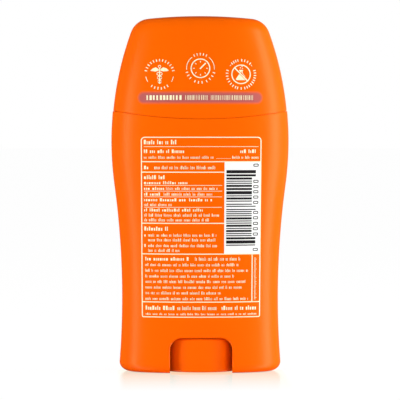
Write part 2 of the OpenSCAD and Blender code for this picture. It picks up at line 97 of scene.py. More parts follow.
@dataclass(frozen=True)
class Outline:
    """The outer form of barrel and cap: an oval plan whose half width follows arcs up the side."""

    width: float = 60.4
    depth: float = 32.0
    height: float = 120.75
    shoulder_z: float = 78.4
    shoulder_r: float = 108.0
    waist_in: float = 3.62
    waist_z: float = 25.1
    waist_part: float = 0.715
    power: float = 2.3
    dome_r: float = 166.0
    corner_r: float = 6.8
    seam_z: float = 85.65
    seam_r: float = 156.0

    @property
    def ratio(self) -> float:
        """The depth of an oval over its width."""
        return self.depth / self.width

    def half_width(self, z: float) -> float:
        """Follows the waist, flank and shoulder arcs.

        Args:
            z: Height in millimetres.

        Returns:
            The half width of the outside at that height.
        """
        rise = self.shoulder_z - self.waist_z
        radii = (rise ** 2 + self.waist_in ** 2) / (2 * self.waist_in)
        if z < self.waist_z + rise * self.waist_part:
            return self.width / 2 - self.waist_in + sag(radii * self.waist_part, z - self.waist_z)
        radius = radii * (1 - self.waist_part) if z < self.shoulder_z else self.shoulder_r
        return self.width / 2 - sag(radius, z - self.shoulder_z)

    def end_at(self, a: float, b: float, y: float) -> float:
        """Finds where an oval ends.

        Args:
            a: Half width of the oval.
            b: Half depth of the oval.
            y: Distance from the oval's long axis.

        Returns:
            The half width there.
        """
        return a * (1 - (abs(y) / b) ** self.power) ** (1 / self.power)

    def front(self, x: float, z: float) -> float:
        """Returns the y of the printed face at this x and z, all in millimetres."""
        a = self.half_width(z)
        return -self.end_at(a * self.ratio, a, x)

    def rise(self, x: float) -> float:
        """Returns how much higher the parting line is at x than in the middle."""
        return x * x / (2 * self.seam_r)

    def corner(self) -> tuple[float, float, float, float]:
        """Places the arc that joins the side to the top.

        Returns:
            The arc's centre (x, z) and the angles where it leaves the side and meets the top.
        """
        dome = Vector((0.0, self.height - self.dome_r))
        shoulder = Vector((self.width / 2 - self.shoulder_r, self.shoulder_z))
        line = shoulder - dome
        reach_dome = self.dome_r - self.corner_r
        reach_side = self.shoulder_r - self.corner_r
        along = (reach_dome ** 2 - reach_side ** 2 + line.length ** 2) / (2 * line.length)
        across = math.sqrt(reach_dome ** 2 - along ** 2)
        unit = line.normalized()
        centre = dome + along * unit + across * Vector((unit.y, -unit.x))
        start = math.atan2(centre.y - shoulder.y, centre.x - shoulder.x)
        end = math.atan2(centre.y - dome.y, centre.x - dome.x)
        return centre.x, centre.y, start, end

    def side_ring(self, z: float, inset: float = 0.0) -> Ring:
        """Makes the level oval of the outside at a height, moved inwards by inset."""
        a = self.half_width(z)
        return Ring(a - inset, a * self.ratio - inset, z)

    def seam_ring(self, off: float, inset: float) -> Ring:
        """Makes an oval that follows the parting line.

        Args:
            off: Height above the parting line.
            inset: Distance in from the outside.

        Returns:
            The ring, lifted at its ends as the line is.
        """
        z = self.seam_z + off
        end = self.half_width(z + self.rise(self.width / 2))
        return Ring(end - inset, self.half_width(z) * self.ratio - inset, z, 1.0)


def deselect() -> None:
    """Leaves object mode with nothing selected."""
    if bpy.context.object is not None and bpy.context.object.mode != "OBJECT":
        bpy.ops.object.mode_set(mode="OBJECT")
    bpy.ops.object.select_all(action="DESELECT")


def make_active(obj: Mesh) -> None:
    """Selects one object alone and makes it the active one.

    Args:
        obj: The object.
    """
    deselect()
    obj.select_set(True)
    bpy.context.view_layer.objects.active = obj


def edit_all(obj: Mesh) -> None:
    """Opens a mesh for editing with all of it selected.

    Args:
        obj: The mesh's object.
    """
    make_active(obj)
    bpy.ops.object.mode_set(mode="EDIT")
    bpy.ops.mesh.select_all(action="SELECT")


def apply_place(obj: Mesh) -> Mesh:
    """Moves an object's place, turn and scale into its mesh.

    Args:
        obj: The object.

    Returns:
        The same object.
    """
    make_active(obj)
    bpy.ops.object.transform_apply(location=True, rotation=True, scale=True)
    return obj


def add_object(name: str, data: bpy.types.ID) -> Mesh:
    """Makes an object of a mesh, a camera or a light and puts it in the scene.

    Args:
        name: Its name.
        data: The mesh, camera or light.

    Returns:
        The new object.
    """
    obj = bpy.data.objects.new(name, data)
    bpy.context.scene.collection.objects.link(obj)
    return obj


def add_box(size: Triple, place: Triple, turn: float = 0.0) -> Mesh:
    """Adds a box.

    Args:
        size: Its width, depth and height in millimetres.
        place: Its middle in millimetres.
        turn: Angle in radians that it is turned about the vertical.

    Returns:
        The box, with its place in its mesh.
    """
    deselect()
    bpy.ops.mesh.primitive_cube_add(size=1, rotation=(0, 0, turn), location=[part * MM for part in place],
                                    scale=[part * MM for part in size])
    return apply_place(bpy.context.object)


def add_pin(place: Pair, low: float, high: float, radius: float, points: int) -> Mesh:
    """Adds an upright cylinder.

    Args:
        place: Its axis as (x, y).
        low: Height of its foot.
        high: Height of its top.
        radius: Its radius.
        points: Corners of its outline.

    Returns:
        The cylinder, with its place in its mesh.
    """
    deselect()
    bpy.ops.mesh.primitive_cylinder_add(
        vertices=points, radius=radius * MM, depth=(high - low) * MM,
        location=(place[0] * MM, place[1] * MM, (high + low) / 2 * MM))
    return apply_place(bpy.context.object)


def combine(target: Mesh, tool: Mesh, operation: str) -> None:
    """Cuts or joins two closed meshes and deletes the tool.

    Args:
        target: The mesh that stays.
        tool: The mesh that is cut away or joined on.
        operation: DIFFERENCE or UNION.
    """
    make_active(target)
    step = target.modifiers.new(operation.lower(), "BOOLEAN")
    step.operation = operation
    step.object = tool
    step.solver = "EXACT"
    bpy.ops.object.modifier_apply(modifier=step.name)
    bpy.data.objects.remove(tool, do_unlink=True)


def join(parts: Sequence[Mesh], name: str) -> Mesh:
    """Joins meshes into one object.

    Args:
        parts: The objects to join, of which the first one stays.
        name: Name of the joined object.

    Returns:
        The joined object.
    """
    make_active(parts[0])
    for part in parts[1:]:
        part.select_set(True)
    bpy.ops.object.join()
    parts[0].name = name
    return parts[0]


def smooth(obj: Mesh, degrees: float = 35.0) -> None:
    """Shades a mesh smooth up to an angle and lets its large faces lead the normals.

    Args:
        obj: The mesh's object.
        degrees: Edges sharper than this stay sharp.
    """
    make_active(obj)
    bpy.ops.object.shade_smooth_by_angle(angle=math.radians(degrees))
    step = obj.modifiers.new("even_normals", "WEIGHTED_NORMAL")
    step.keep_sharp = True
    bpy.ops.object.modifier_apply(modifier=step.name)


def faces_outwards(obj: Mesh) -> None:
    """Turns the faces of a closed mesh outwards.

    Args:
        obj: The mesh's object.
    """
    edit_all(obj)
    bpy.ops.mesh.normals_make_consistent(inside=False)
    bpy.ops.object.mode_set(mode="OBJECT")


def loft(name: str, outline: Outline, rings: Sequence[Ring], start_point: bool = False,
         end_point: bool = False) -> Mesh:
    """Draws a closed wall oval by oval: each one is extruded from the last, then scaled.

    Args:
        name: Name of the new object.
        outline: Gives the ovals their squareness and the parting line its curve.
        rings: The ovals in order.
        start_point: Whether the first oval closes to a point.
        end_point: Whether the last oval closes to a point.

    Returns:
        The closed mesh, with its place in the mesh.
    """
    deselect()
    bpy.ops.mesh.primitive_circle_add(vertices=OVAL_POINTS, radius=1, fill_type="NGON")
    obj = bpy.context.object
    obj.name = name
    bpy.ops.object.mode_set(mode="EDIT")
    bpy.ops.mesh.select_mode(type="VERT")
    bpy.ops.mesh.select_all(action="SELECT")
    square_up(obj, outline.power)
    last = Ring(1 / MM, 1 / MM, 0)
    for number, ring in enumerate(rings):
        move = (0, 0, (ring.z - last.z) * MM)
        if number:
            bpy.ops.mesh.extrude_region_move(TRANSFORM_OT_translate={"value": move})
        else:
            bpy.ops.transform.translate(value=move)
        scale = (ring.half_width / last.half_width, ring.half_depth / last.half_depth, 1)
        bpy.ops.transform.resize(value=scale, center_override=(0, 0, 0))
        if ring.lift or last.lift:
            bend_ring(obj, outline, ring)
        last = ring
    if end_point:
        bpy.ops.mesh.merge(type="CENTER")
    if start_point:
        select_near_axis(obj, rings[0])
        bpy.ops.mesh.merge(type="CENTER")
    bpy.ops.object.mode_set(mode="OBJECT")
    faces_outwards(obj)
    return obj


def square_up(obj: Mesh, power: float) -> None:
    """Moves the corners of a unit circle onto an oval.

    Args:
        obj: The circle, open for editing.
        power: The oval's squareness, where 2 is an ellipse.
    """
    edit = bmesh.from_edit_mesh(obj.data)
    for vert in edit.verts:
        x, y = vert.co.x, vert.co.y
        vert.co.x = math.copysign(abs(x) ** (2 / power), x)
        vert.co.y = math.copysign(abs(y) ** (2 / power), y)
    bmesh.update_edit_mesh(obj.data)


def bend_ring(obj: Mesh, outline: Outline, ring: Ring) -> None:
    """Sets the selected oval's height, with its share of the parting line's rise.

    Args:
        obj: The wall, open for editing.
        outline: Gives the parting line's rise.
        ring: The selected oval.
    """
    edit = bmesh.from_edit_mesh(obj.data)
    for vert in edit.verts:
        if vert.select:
            vert.co.z = (ring.z + ring.lift * outline.rise(vert.co.x / MM)) * MM
    bmesh.update_edit_mesh(obj.data)


def select_near_axis(obj: Mesh, ring: Ring) -> None:
    """Selects the corners of a small oval round the axis.

    Args:
        obj: The wall, open for editing.
        ring: The oval, the only one there at its height.
    """
    edit = bmesh.from_edit_mesh(obj.data)
    reach = ring.half_width * MM * 1.01
    for vert in edit.verts:
        vert.select = vert.co.xy.length < reach and abs(vert.co.z - ring.z * MM) < 0.1 * MM
    edit.select_flush_mode()
    bmesh.update_edit_mesh(obj.data)


@dataclass
class Barrel:
    """The barrel: waisted outer shell, groove, neck, tube, floor and the skirt with its two knob windows."""

    outline: Outline
    tube: Pair = (24.5, 12.17)
    tube_wall: float = 1.2
    shell_wall: float = 1.4
    shell_in_z: float = 81.0
    groove_z: float = 71.05
    groove_round: Pair = (0.2, 0.9)
    neck_z: float = 95.0
    mouth_round: float = 0.4
    bead_h: float = 0.2
    bead_reach: float = 0.8
    foot_inset: float = 3.75
    foot_h: float = 3.15
    skirt_wall: float = 2.35
    skirt_end_wall: float = 4.5
    skirt_round: float = 0.6
    skirt_z: float = 9.0
    floor_z: float = 11.9
    floor_t: float = 1.6
    floor_round: float = 0.8
    window: Triple = (21.0, 11.8, 4.0)
    window_edge: float = 0.8
    window_in: float = 6.0
    window_turn: float = math.radians(75)
    window_share: float = 0.87
    bore_r: float = 4.05
    edge: float = 0.15
    land_h: float = 0.1
    land_in: float = 0.45
    below: float = 1.0

    @property
    def neck(self) -> Pair:
        """Half width and half depth of the neck."""
        return self.tube[0] + self.tube_wall, self.tube[1] + self.tube_wall

    def foot_rings(self) -> list[Ring]:
        """Follows the floor's underside, the skirt, the foot and the outside.

        Returns:
            The ovals in that order.
        """
        line = self.outline
        foot = line.half_width(self.foot_h)
        skirt = (foot - self.skirt_end_wall, foot * line.ratio - self.skirt_wall)
        rings = [oval(skirt, self.floor_z, -self.skirt_round),
                 oval(skirt, self.floor_z - self.edge, -self.edge),
                 oval(skirt, self.floor_z - self.skirt_round)]
        rings += [oval(skirt, z) for z in spread(self.skirt_z, self.edge, 5)]
        rings.append(oval(skirt, 0, self.edge))
        for turn in spread(0, QUARTER, 11):
            a = foot - self.foot_inset * (1 - math.sin(turn))
            rings.append(Ring(a, a * line.ratio, self.foot_h * (1 - math.cos(turn))))
        return rings + [line.side_ring(z) for z in spread(self.foot_h, line.seam_z - 3, 44)[1:]]

    def rim_rings(self) -> list[Ring]:
        """Goes over the rim, with a low land behind the parting line, into the groove.

        Returns:
            The ovals in that order.
        """
        line, edge, inside = self.outline, self.edge, self.shell_wall
        rim = ((-1.2, 0), (-edge, 0), (-edge * 0.3, edge * 0.3), (0, edge), (0, self.land_in),
               (self.land_h, self.land_in + 0.05), (self.land_h, inside - edge), (-edge, inside))
        rings = [line.seam_ring(off, inset) for off, inset in rim]
        rings += [line.side_ring(z, inside) for z in spread(self.shell_in_z, self.groove_z + 0.5, 4)]
        a = line.half_width(self.groove_z) - inside
        rings.append(Ring(a - self.groove_round[0], a * line.ratio - self.groove_round[1], self.groove_z))
        return rings

    def neck_rings(self) -> list[Ring]:
        """Goes up the neck, over its bead and mouth and down to the floor's top.

        Returns:
            The ovals in that order.
        """
        neck, tube = self.neck, self.tube
        rings = [oval(neck, self.groove_z, 0.2), oval(neck, self.groove_z + 0.3)]
        rings += [oval(neck, z) for z in spread(self.shell_in_z - 5, self.shell_in_z + 5, 3)]
        bead_z = (self.outline.seam_z + self.neck_z) / 2
        rings += [oval(neck, bead_z + self.bead_reach * step, self.bead_h * math.cos(step * QUARTER))
                  for step in spread(-1, 1, 9)]
        rings += [oval(neck, self.neck_z - self.mouth_round), oval(neck, self.neck_z - 0.12, -0.12),
                  oval(neck, self.neck_z, -self.mouth_round), oval(tube, self.neck_z)]
        floor_top = self.floor_z + self.floor_t
        rings += [oval(tube, z) for z in spread(self.neck_z - 1, floor_top + self.floor_round, 5)]
        return rings + [oval(tube, floor_top + 0.2, -0.25), oval(tube, floor_top, -self.floor_round)]

    def arch_points(self, grow: float) -> list[Pair]:
        """Draws the knob window.

        Args:
            grow: How far the outline is moved outwards.

        Returns:
            Its corners as (x, z), from the lower left round to the lower right.
        """
        width, height, corner = self.window
        half, top, radius = width / 2 + grow, height + grow, corner + grow
        left = [(-half, z) for z in spread(-self.below, top - radius, 10)]
        bend = [(-half + radius - radius * math.cos(t), top - radius + radius * math.sin(t))
                for t in spread(0, QUARTER, 10)[1:]]
        roof = [(x, top) for x in spread(-half + radius, 0, 7)[1:]]
        left_half = left + bend + roof
        return left_half + [(-x, z) for x, z in reversed(left_half[:-1])]

    def window_cutter(self) -> Mesh:
        """Makes the solid that cuts the front window and rounds its outer edge where it meets the shell.

        Returns:
            The solid.
        """
        sections = [[(x, -self.window_in, z) for x, z in self.arch_points(0)]]
        for turn in spread(0, self.window_turn, 6):
            depth = self.window_edge * (1 - math.sin(turn))
            sections.append([(x, self.outline.front(x, max(z, 0)) + depth, z)
                             for x, z in self.arch_points(self.window_edge * (1 - math.cos(turn)))])
        last = self.arch_points(self.window_edge * self.window_share)
        sections.append([(x, -self.outline.depth, z) for x, z in last])
        tool = bmesh.new()
        rows = [[tool.verts.new([part * MM for part in point]) for point in points] for points in sections]
        for row, after in zip(rows, rows[1:]):
            for k in range(len(row)):
                m = (k + 1) % len(row)
                tool.faces.new((row[k], row[m], after[m], after[k]))
        tool.faces.new(rows[0])
        tool.faces.new(rows[-1])
        mesh = bpy.data.meshes.new("window_cutter")
        tool.to_mesh(mesh)
        tool.free()
        obj = add_object("window_cutter", mesh)
        faces_outwards(obj)
        return obj

    def build(self) -> Mesh:
        """Builds the barrel and cuts its windows and the bearing hole.

        Returns:
            The barrel.
        """
        shell = loft("barrel_shell", self.outline, self.foot_rings() + self.rim_rings() + self.neck_rings())
        for turn in (0, math.pi):
            tool = self.window_cutter()
            tool.rotation_euler = (0, 0, turn)
            combine(shell, apply_place(tool), "DIFFERENCE")
        floor_top = self.floor_z + self.floor_t
        hole = add_pin((0, 0), self.floor_z - self.below, floor_top + self.below, self.bore_r, 64)
        combine(shell, hole, "DIFFERENCE")
        smooth(shell)
        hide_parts("barrel")
        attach(shell, "barrel")
        return shell


@dataclass
class Cap:
    """The cap: one domed wall that ends on the parting line, with six ribs inside that grip the neck."""

    outline: Outline
    barrel: Barrel
    wall: float = 1.4
    gap: float = 0.11
    edge: float = 0.15
    side_from: float = 3.6
    middle_least: Pair = (0.9, 0.5)
    top_shares: tuple[float, ...] = (0.95, 0.86, 0.75, 0.62, 0.48, 0.34, 0.2, 0.08)
    grip_h: float = 6.0
    grip_t: float = 1.2
    grip_pitch: float = 5.5
    grip_round: float = 0.2
    grip_sunk: float = 0.3
    grip_up: float = 0.3
    grip_clear: float = 0.15

    def profile(self) -> list[Triple]:
        """Follows the outside from rim to top.

        Returns:
            Rows of half width, height and slope of the surface's normal.
        """
        line = self.outline
        x, z, start, end = line.corner()
        side_top = z + line.corner_r * math.sin(start)
        rows = [(line.half_width(h), h, math.asin((h - line.shoulder_z) / line.shoulder_r))
                for h in spread(line.seam_z + self.side_from, side_top, 18)]
        rows += [(x + line.corner_r * math.cos(t), z + line.corner_r * math.sin(t), t)
                 for t in spread(start, end, 12)[1:]]
        for share in self.top_shares:
            a = share * line.dome_r * math.cos(end)
            rows.append((a, line.height - sag(line.dome_r, a), QUARTER - math.asin(a / line.dome_r)))
        return rows

    def rings(self) -> list[Ring]:
        """Goes from the inside of the top down to the rim and up the outside.

        Returns:
            The ovals in that order.
        """
        line, wall, edge = self.outline, self.wall, self.edge
        rows = self.profile()
        rings = []
        for a, z, slope in reversed(rows):
            off = wall * math.cos(slope)
            half_width = max(a - off, self.middle_least[0])
            half_depth = max(a * line.ratio - off, self.middle_least[1])
            rings.append(Ring(half_width, half_depth, z - wall * math.sin(slope)))
        rim = ((1.0, wall), (edge, wall), (0, wall - edge), (0, edge), (edge * 0.3, edge * 0.3), (edge, 0))
        rings += [line.seam_ring(self.gap + off, inset) for off, inset in rim]
        return rings + [Ring(a, a * line.ratio, z) for a, z, _ in rows]

    def grips(self) -> Mesh:
        """Makes the six ribs, each from just off the neck's bead into the wall.

        Returns:
            The ribs as one object.
        """
        line = self.outline
        low = line.seam_z + line.rise(line.width / 2) + self.grip_up
        clear = self.barrel.bead_h + self.grip_clear
        neck = oval(self.barrel.neck, low, clear)
        wall = line.half_width(low + self.grip_h)
        ribs = []
        for side in (-1, 1):
            for y in (-self.grip_pitch, 0, self.grip_pitch):
                near = line.end_at(neck.half_width, neck.half_depth, abs(y) - self.grip_t / 2)
                far = line.end_at(wall, wall * line.ratio, abs(y) + self.grip_t / 2) - self.grip_sunk
                rib = add_box((far - near, self.grip_t, self.grip_h),
                              (side * (near + far) / 2, y, low + self.grip_h / 2))
                edit_all(rib)
                bpy.ops.mesh.bevel(offset=self.grip_round * MM, segments=2, affect="EDGES")
                ribs.append(rib)
        return join(ribs, "grips")

    def build(self) -> Mesh:
        """Builds the cap with its ribs.

        Returns:
            The cap.
        """
        shell = loft("cap_shell", self.outline, self.rings(), start_point=True, end_point=True)
        combine(shell, self.grips(), "UNION")
        smooth(shell)
        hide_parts("cap")
        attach(shell, "cap")
        return shell


@dataclass
class Applicator:
    """The pierced dome that the cream comes through, and the cream itself."""

    outline: Outline
    barrel: Barrel
    height: float = 10.5
    wall: float = 1.3
    plug_h: float = 5.0
    plug_round: float = 0.3
    rim_h: float = 1.2
    rim_round: float = 0.15
    hole_r: float = 1.3
    hole_low: float = 0.35
    hole_flare: tuple[Pair, ...] = ((1.06, 0.15), (1.16, 0.2), (1.4, 2.5))
    hole_pitch: float = 5.4
    row_pitch: float = 4.65
    gap: float = 0.15
    pearl_low: float = 0.75
    pearl_gap: float = 0.12
    pearl_share: float = 0.6
    crown_z: float = 23.8
    spindle_r: float = 4.4
    spindle_top: float = 86.8
    travel: float = 64.0

    @property
    def plug_z(self) -> float:
        """Height of the plug's foot."""
        return self.barrel.neck_z - self.plug_h

    @property
    def dome_z(self) -> float:
        """Height where the dome begins."""
        return self.barrel.neck_z + self.gap + self.rim_h

    @property
    def crown(self) -> Pair:
        """Half width and half depth of the dome's foot."""
        wall = self.barrel.tube_wall - 0.6
        return self.barrel.tube[0] + wall, self.barrel.tube[1] + wall

    def dome(self, foot: Pair, z: float) -> list[Ring]:
        """Draws a dome from its foot to its top.

        Args:
            foot: Half width and half depth of its foot.
            z: Height of its foot.

        Returns:
            The ovals, foot first, the last one small.
        """
        steep = self.height - self.rim_h
        turns = spread(0, math.radians(80), 13) + [math.radians(85), math.radians(88)]
        return [Ring(foot[0] * math.cos(t), foot[1] * math.cos(t), z + steep * math.sin(t)) for t in turns]

    def holes(self) -> Iterable[Pair]:
        """Places the holes in three rows.

        Returns:
            The middle of each hole as (x, y).
        """
        for row in (-1, 0, 1):
            for k in range(-3, 4):
                if row == 0 or k < 3:
                    yield (k + abs(row) / 2) * self.hole_pitch, row * self.row_pitch

    def surface(self, x: float, y: float) -> float:
        """Finds the height of the dome's outside.

        Args:
            x: Distance to the right of the middle.
            y: Distance behind the middle.

        Returns:
            The height there in millimetres.
        """
        a, b = self.crown
        power = self.outline.power
        share = min(1.0, ((abs(x) / a) ** power + (abs(y) / b) ** power) ** (1 / power))
        return self.dome_z + (self.height - self.rim_h) * math.sqrt(1 - share * share)

    def pin(self, x: float, y: float) -> Mesh:
        """Makes the tool for one hole, with a small lead-in where it meets the dome.

        Args:
            x: The hole's middle, to the right.
            y: The hole's middle, to the back.

        Returns:
            The tool.
        """
        top = self.surface(x, y)
        tool = add_pin((x, y), self.plug_z, top - self.hole_low, self.hole_r, 28)
        bpy.ops.object.mode_set(mode="EDIT")
        bpy.ops.mesh.select_all(action="DESELECT")
        edit = bmesh.from_edit_mesh(tool.data)
        for face in edit.faces:
            face.select = face.normal.z > 0.9
        bmesh.update_edit_mesh(tool.data)
        for grow, rise in self.hole_flare:
            bpy.ops.mesh.extrude_region_move(TRANSFORM_OT_translate={"value": (0, 0, rise * MM)})
            bpy.ops.transform.resize(value=(grow, grow, 1), center_override=(x * MM, y * MM, top * MM))
        deselect()
        return tool

    def build_dome(self) -> Mesh:
        """Builds the applicator with its plug, flange, dome and holes.

        Returns:
            The applicator.
        """
        tube, plug_z, edge = self.barrel.tube, self.plug_z, self.rim_round
        plug = (tube[0] - self.gap, tube[1] - self.gap)
        bore = (plug[0] - self.wall, plug[1] - self.wall)
        rim = (tube[0] + self.barrel.tube_wall - 0.1, tube[1] + self.barrel.tube_wall - 0.1)
        seat = self.barrel.neck_z + self.gap
        rings = list(reversed(self.dome(bore, self.dome_z - self.wall)))
        rings += [oval(bore, plug_z + 0.2), oval(bore, plug_z, 0.2), oval(plug, plug_z, -self.plug_round),
                  oval(plug, plug_z + self.plug_round), oval(plug, seat), oval(rim, seat, -edge),
                  oval(rim, seat + edge), oval(rim, self.dome_z - 0.5), oval(rim, self.dome_z - 0.2, -edge)]
        rings += self.dome(self.crown, self.dome_z)
        shell = loft("applicator_dome", self.outline, rings, start_point=True, end_point=True)
        combine(shell, join([self.pin(x, y) for x, y in self.holes()], "pins"), "DIFFERENCE")
        smooth(shell)
        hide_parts("applicator")
        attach(shell, "barrel")
        return shell

    def build_head(self) -> Mesh:
        """Builds the cream under the dome, with a low pearl of cream in each hole.

        Returns:
            The cream.
        """
        side = tuple(half - self.wall - 2 * self.gap for half in self.barrel.tube)
        low = self.plug_z + self.gap
        rings = [oval(side, low, -self.plug_round), oval(side, low + self.plug_round)]
        rings += self.dome(side, self.dome_z - self.wall - self.gap)
        head = loft("cream_head_fill", self.outline, rings, end_point=True)
        pearls = []
        for x, y in self.holes():
            place = (x * MM, y * MM, (self.surface(x, y) - self.pearl_low) * MM)
            deselect()
            bpy.ops.mesh.primitive_uv_sphere_add(
                segments=24, ring_count=12, radius=(self.hole_r - self.pearl_gap) * MM,
                location=place, scale=(1, 1, self.pearl_share))
            pearls.append(apply_place(bpy.context.object))
        combine(head, join(pearls, "pearls"), "UNION")
        smooth(head, 50)
        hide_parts("cream_head")
        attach(head, "barrel")
        return head

    def build_column(self) -> Mesh:
        """Builds the cream between elevator and dome.

        Returns:
            The cream.
        """
        side = tuple(half - self.gap for half in self.barrel.tube)
        low, high = self.crown_z + self.gap, self.plug_z - self.gap
        column = loft("cream_column_fill", self.outline, [oval(side, z) for z in spread(low, high, 9)])
        core = add_pin((0, 0), low - 1.5, self.spindle_top + 0.5, self.spindle_r + self.gap, 48)
        combine(column, core, "DIFFERENCE")
        smooth(column)
        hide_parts("cream_column")
        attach(column, "barrel")
        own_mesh(column)
        return column


@dataclass
class Knob:
    """The knob: a smooth wall, a flat top, a socket for the spindle and ribs below."""

    diameter: float = 27.35
    low: float = 0.3
    high: float = 11.6
    wall: float = 1.5
    edge: float = 0.7
    corner: float = 0.3
    lip: float = 0.2
    socket_r: float = 5.0
    socket_w: float = 5.5
    socket_up: float = 1.0
    ribs: int = 8
    rib_t: float = 1.0
    rib_up: float = 3.0
    rib_sunk: float = 0.4

    def profile(self) -> list[Pair]:
        """Goes from the socket's foot under the roof, down the wall, round the rim and up.

        Returns:
            Rows of radius and height.
        """
        r, edge, lip, corner = self.diameter / 2, self.edge, self.lip, self.corner
        roof, inner, foot = self.high - self.wall, r - self.wall, self.low + self.socket_up
        rows = [(self.socket_r - lip, foot), (self.socket_r, foot + lip), (self.socket_r, roof - corner),
                (self.socket_r + corner, roof), (inner - corner, roof), (inner, roof - corner),
                (inner, self.low + lip), (inner + lip, self.low)]
        turns = spread(0, QUARTER, 7)
        rows += [(r - edge + edge * math.sin(t), self.low + edge - edge * math.cos(t)) for t in turns]
        return rows + [(r - edge + edge * math.cos(t), self.high - edge + edge * math.sin(t)) for t in turns]

    def rib(self, turn: float) -> Mesh:
        """Makes one rib between the socket and the wall.

        Args:
            turn: Its angle in radians.

        Returns:
            The rib.
        """
        inner, outer = self.socket_r - self.rib_sunk, self.diameter / 2 - self.wall + self.rib_sunk
        foot, roof = self.low + self.rib_up, self.high - self.wall + 0.3
        reach = (inner + outer) / 2
        return add_box((outer - inner, self.rib_t, roof - foot),
                       (reach * math.cos(turn), reach * math.sin(turn), (foot + roof) / 2), turn)

    def build(self) -> Mesh:
        """Turns the knob ring by ring, adds its ribs and cuts its socket.

        Returns:
            The knob.
        """
        deselect()
        rows = self.profile()
        bpy.ops.mesh.primitive_circle_add(vertices=128, radius=rows[0][0] * MM, fill_type="NGON",
                                          location=(0, 0, rows[0][1] * MM))
        knob = bpy.context.object
        knob.name = "knob_shell"
        edit_all(apply_place(knob))
        for (r0, z0), (r1, z1) in zip(rows, rows[1:]):
            bpy.ops.mesh.extrude_region_move(TRANSFORM_OT_translate={"value": (0, 0, (z1 - z0) * MM)})
            bpy.ops.transform.resize(value=(r1 / r0, r1 / r0, 1), center_override=(0, 0, 0))
        bpy.ops.object.mode_set(mode="OBJECT")
        faces_outwards(knob)
        ribs = [self.rib((k + 0.5) * 2 * math.pi / self.ribs) for k in range(self.ribs)]
        combine(knob, join(ribs, "knob_ribs"), "UNION")
        socket = add_box((self.socket_w, self.socket_w, self.high + 2), (0, 0, self.high / 2))
        combine(knob, socket, "DIFFERENCE")
        smooth(knob)
        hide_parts("knob")
        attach(knob, "screw")
        return knob


class Run(NamedTuple):
    """A stretch of printed marks on one line, in millimetres from the stick's middle."""

    start: float
    end: float
    weight: Weight


class Line(NamedTuple):
    """One printed line: the height of its foot, the height of its marks and its stretches."""

    z: float
    height: float
    runs: list[Run]


BOLD, LIGHT, TINY = Weight.BOLD, Weight.LIGHT, Weight.TINY
LEFT, LOW_LEFT, POINT, AFTER_POINT = -19.1, -18.8, -18.7, -17.8
PANEL_LINES = [Line(z, height, [Run(*run) for run in runs]) for z, height, *runs in (
    (77.19, 1.5, (LEFT, -8.4, BOLD)),
    (74.26, 1.2, (LEFT, -5.8, BOLD), (13.0, 19.1, BOLD)),
    (72.35, 0.95, (LEFT, 4.5, LIGHT), (10.3, 19.1, LIGHT)),
    (68.81, 1.15, (LEFT, -16.5, BOLD), (-15.7, 4.8, LIGHT)),
    (65.48, 1.3, (LEFT, -12.1, BOLD)),
    (63.77, 1.0, (LEFT, -4.7, BOLD)),
    (61.85, 1.0, (LEFT, -12.5, BOLD), (-11.8, 5.3, LIGHT)),
    (59.94, 1.0, (LEFT, -13.3, BOLD), (-12.6, 3.6, LIGHT)),
    (58.02, 1.0, (LEFT, -4.9, BOLD), (-4.1, 3.5, BOLD)),
    (56.4, 1.0, (LEFT, -9.7, LIGHT)),
    (54.59, 1.0, (LEFT, 0.9, BOLD)),
    (52.87, 1.0, (LEFT, 6.7, LIGHT)),
    (51.26, 1.0, (LEFT, 3.1, LIGHT)),
    (48.13, 1.35, (LEFT, -11.1, BOLD)),
    (46.11, 1.0, (LEFT, POINT, BOLD), (AFTER_POINT, 5.3, LIGHT)),
    (44.5, 1.0, (AFTER_POINT, 5.0, LIGHT)),
    (42.58, 1.0, (LEFT, POINT, BOLD), (AFTER_POINT, 5.6, LIGHT)),
    (40.97, 1.0, (AFTER_POINT, -7.4, LIGHT)),
    (38.04, 1.2, (LOW_LEFT, -3.8, BOLD), (-2.1, 13.1, LIGHT)),
    (36.13, 1.0, (LOW_LEFT, 12.7, LIGHT)),
    (34.21, 1.0, (LOW_LEFT, 16.0, LIGHT)),
    (32.29, 1.0, (LOW_LEFT, 11.1, LIGHT)),
    (30.48, 1.0, (LOW_LEFT, 15.5, LIGHT)),
    (28.56, 1.0, (LOW_LEFT, 13.8, LIGHT)),
    (26.64, 1.0, (LOW_LEFT, 6.8, LIGHT)),
    (24.72, 1.0, (LOW_LEFT, 16.0, LIGHT)),
    (21.4, 1.4, (LOW_LEFT, -9.1, BOLD), (-8.1, 5.2, LIGHT), (6.9, 18.9, BOLD)),
    (19.68, 0.7, (LOW_LEFT, 18.9, TINY)),
)]


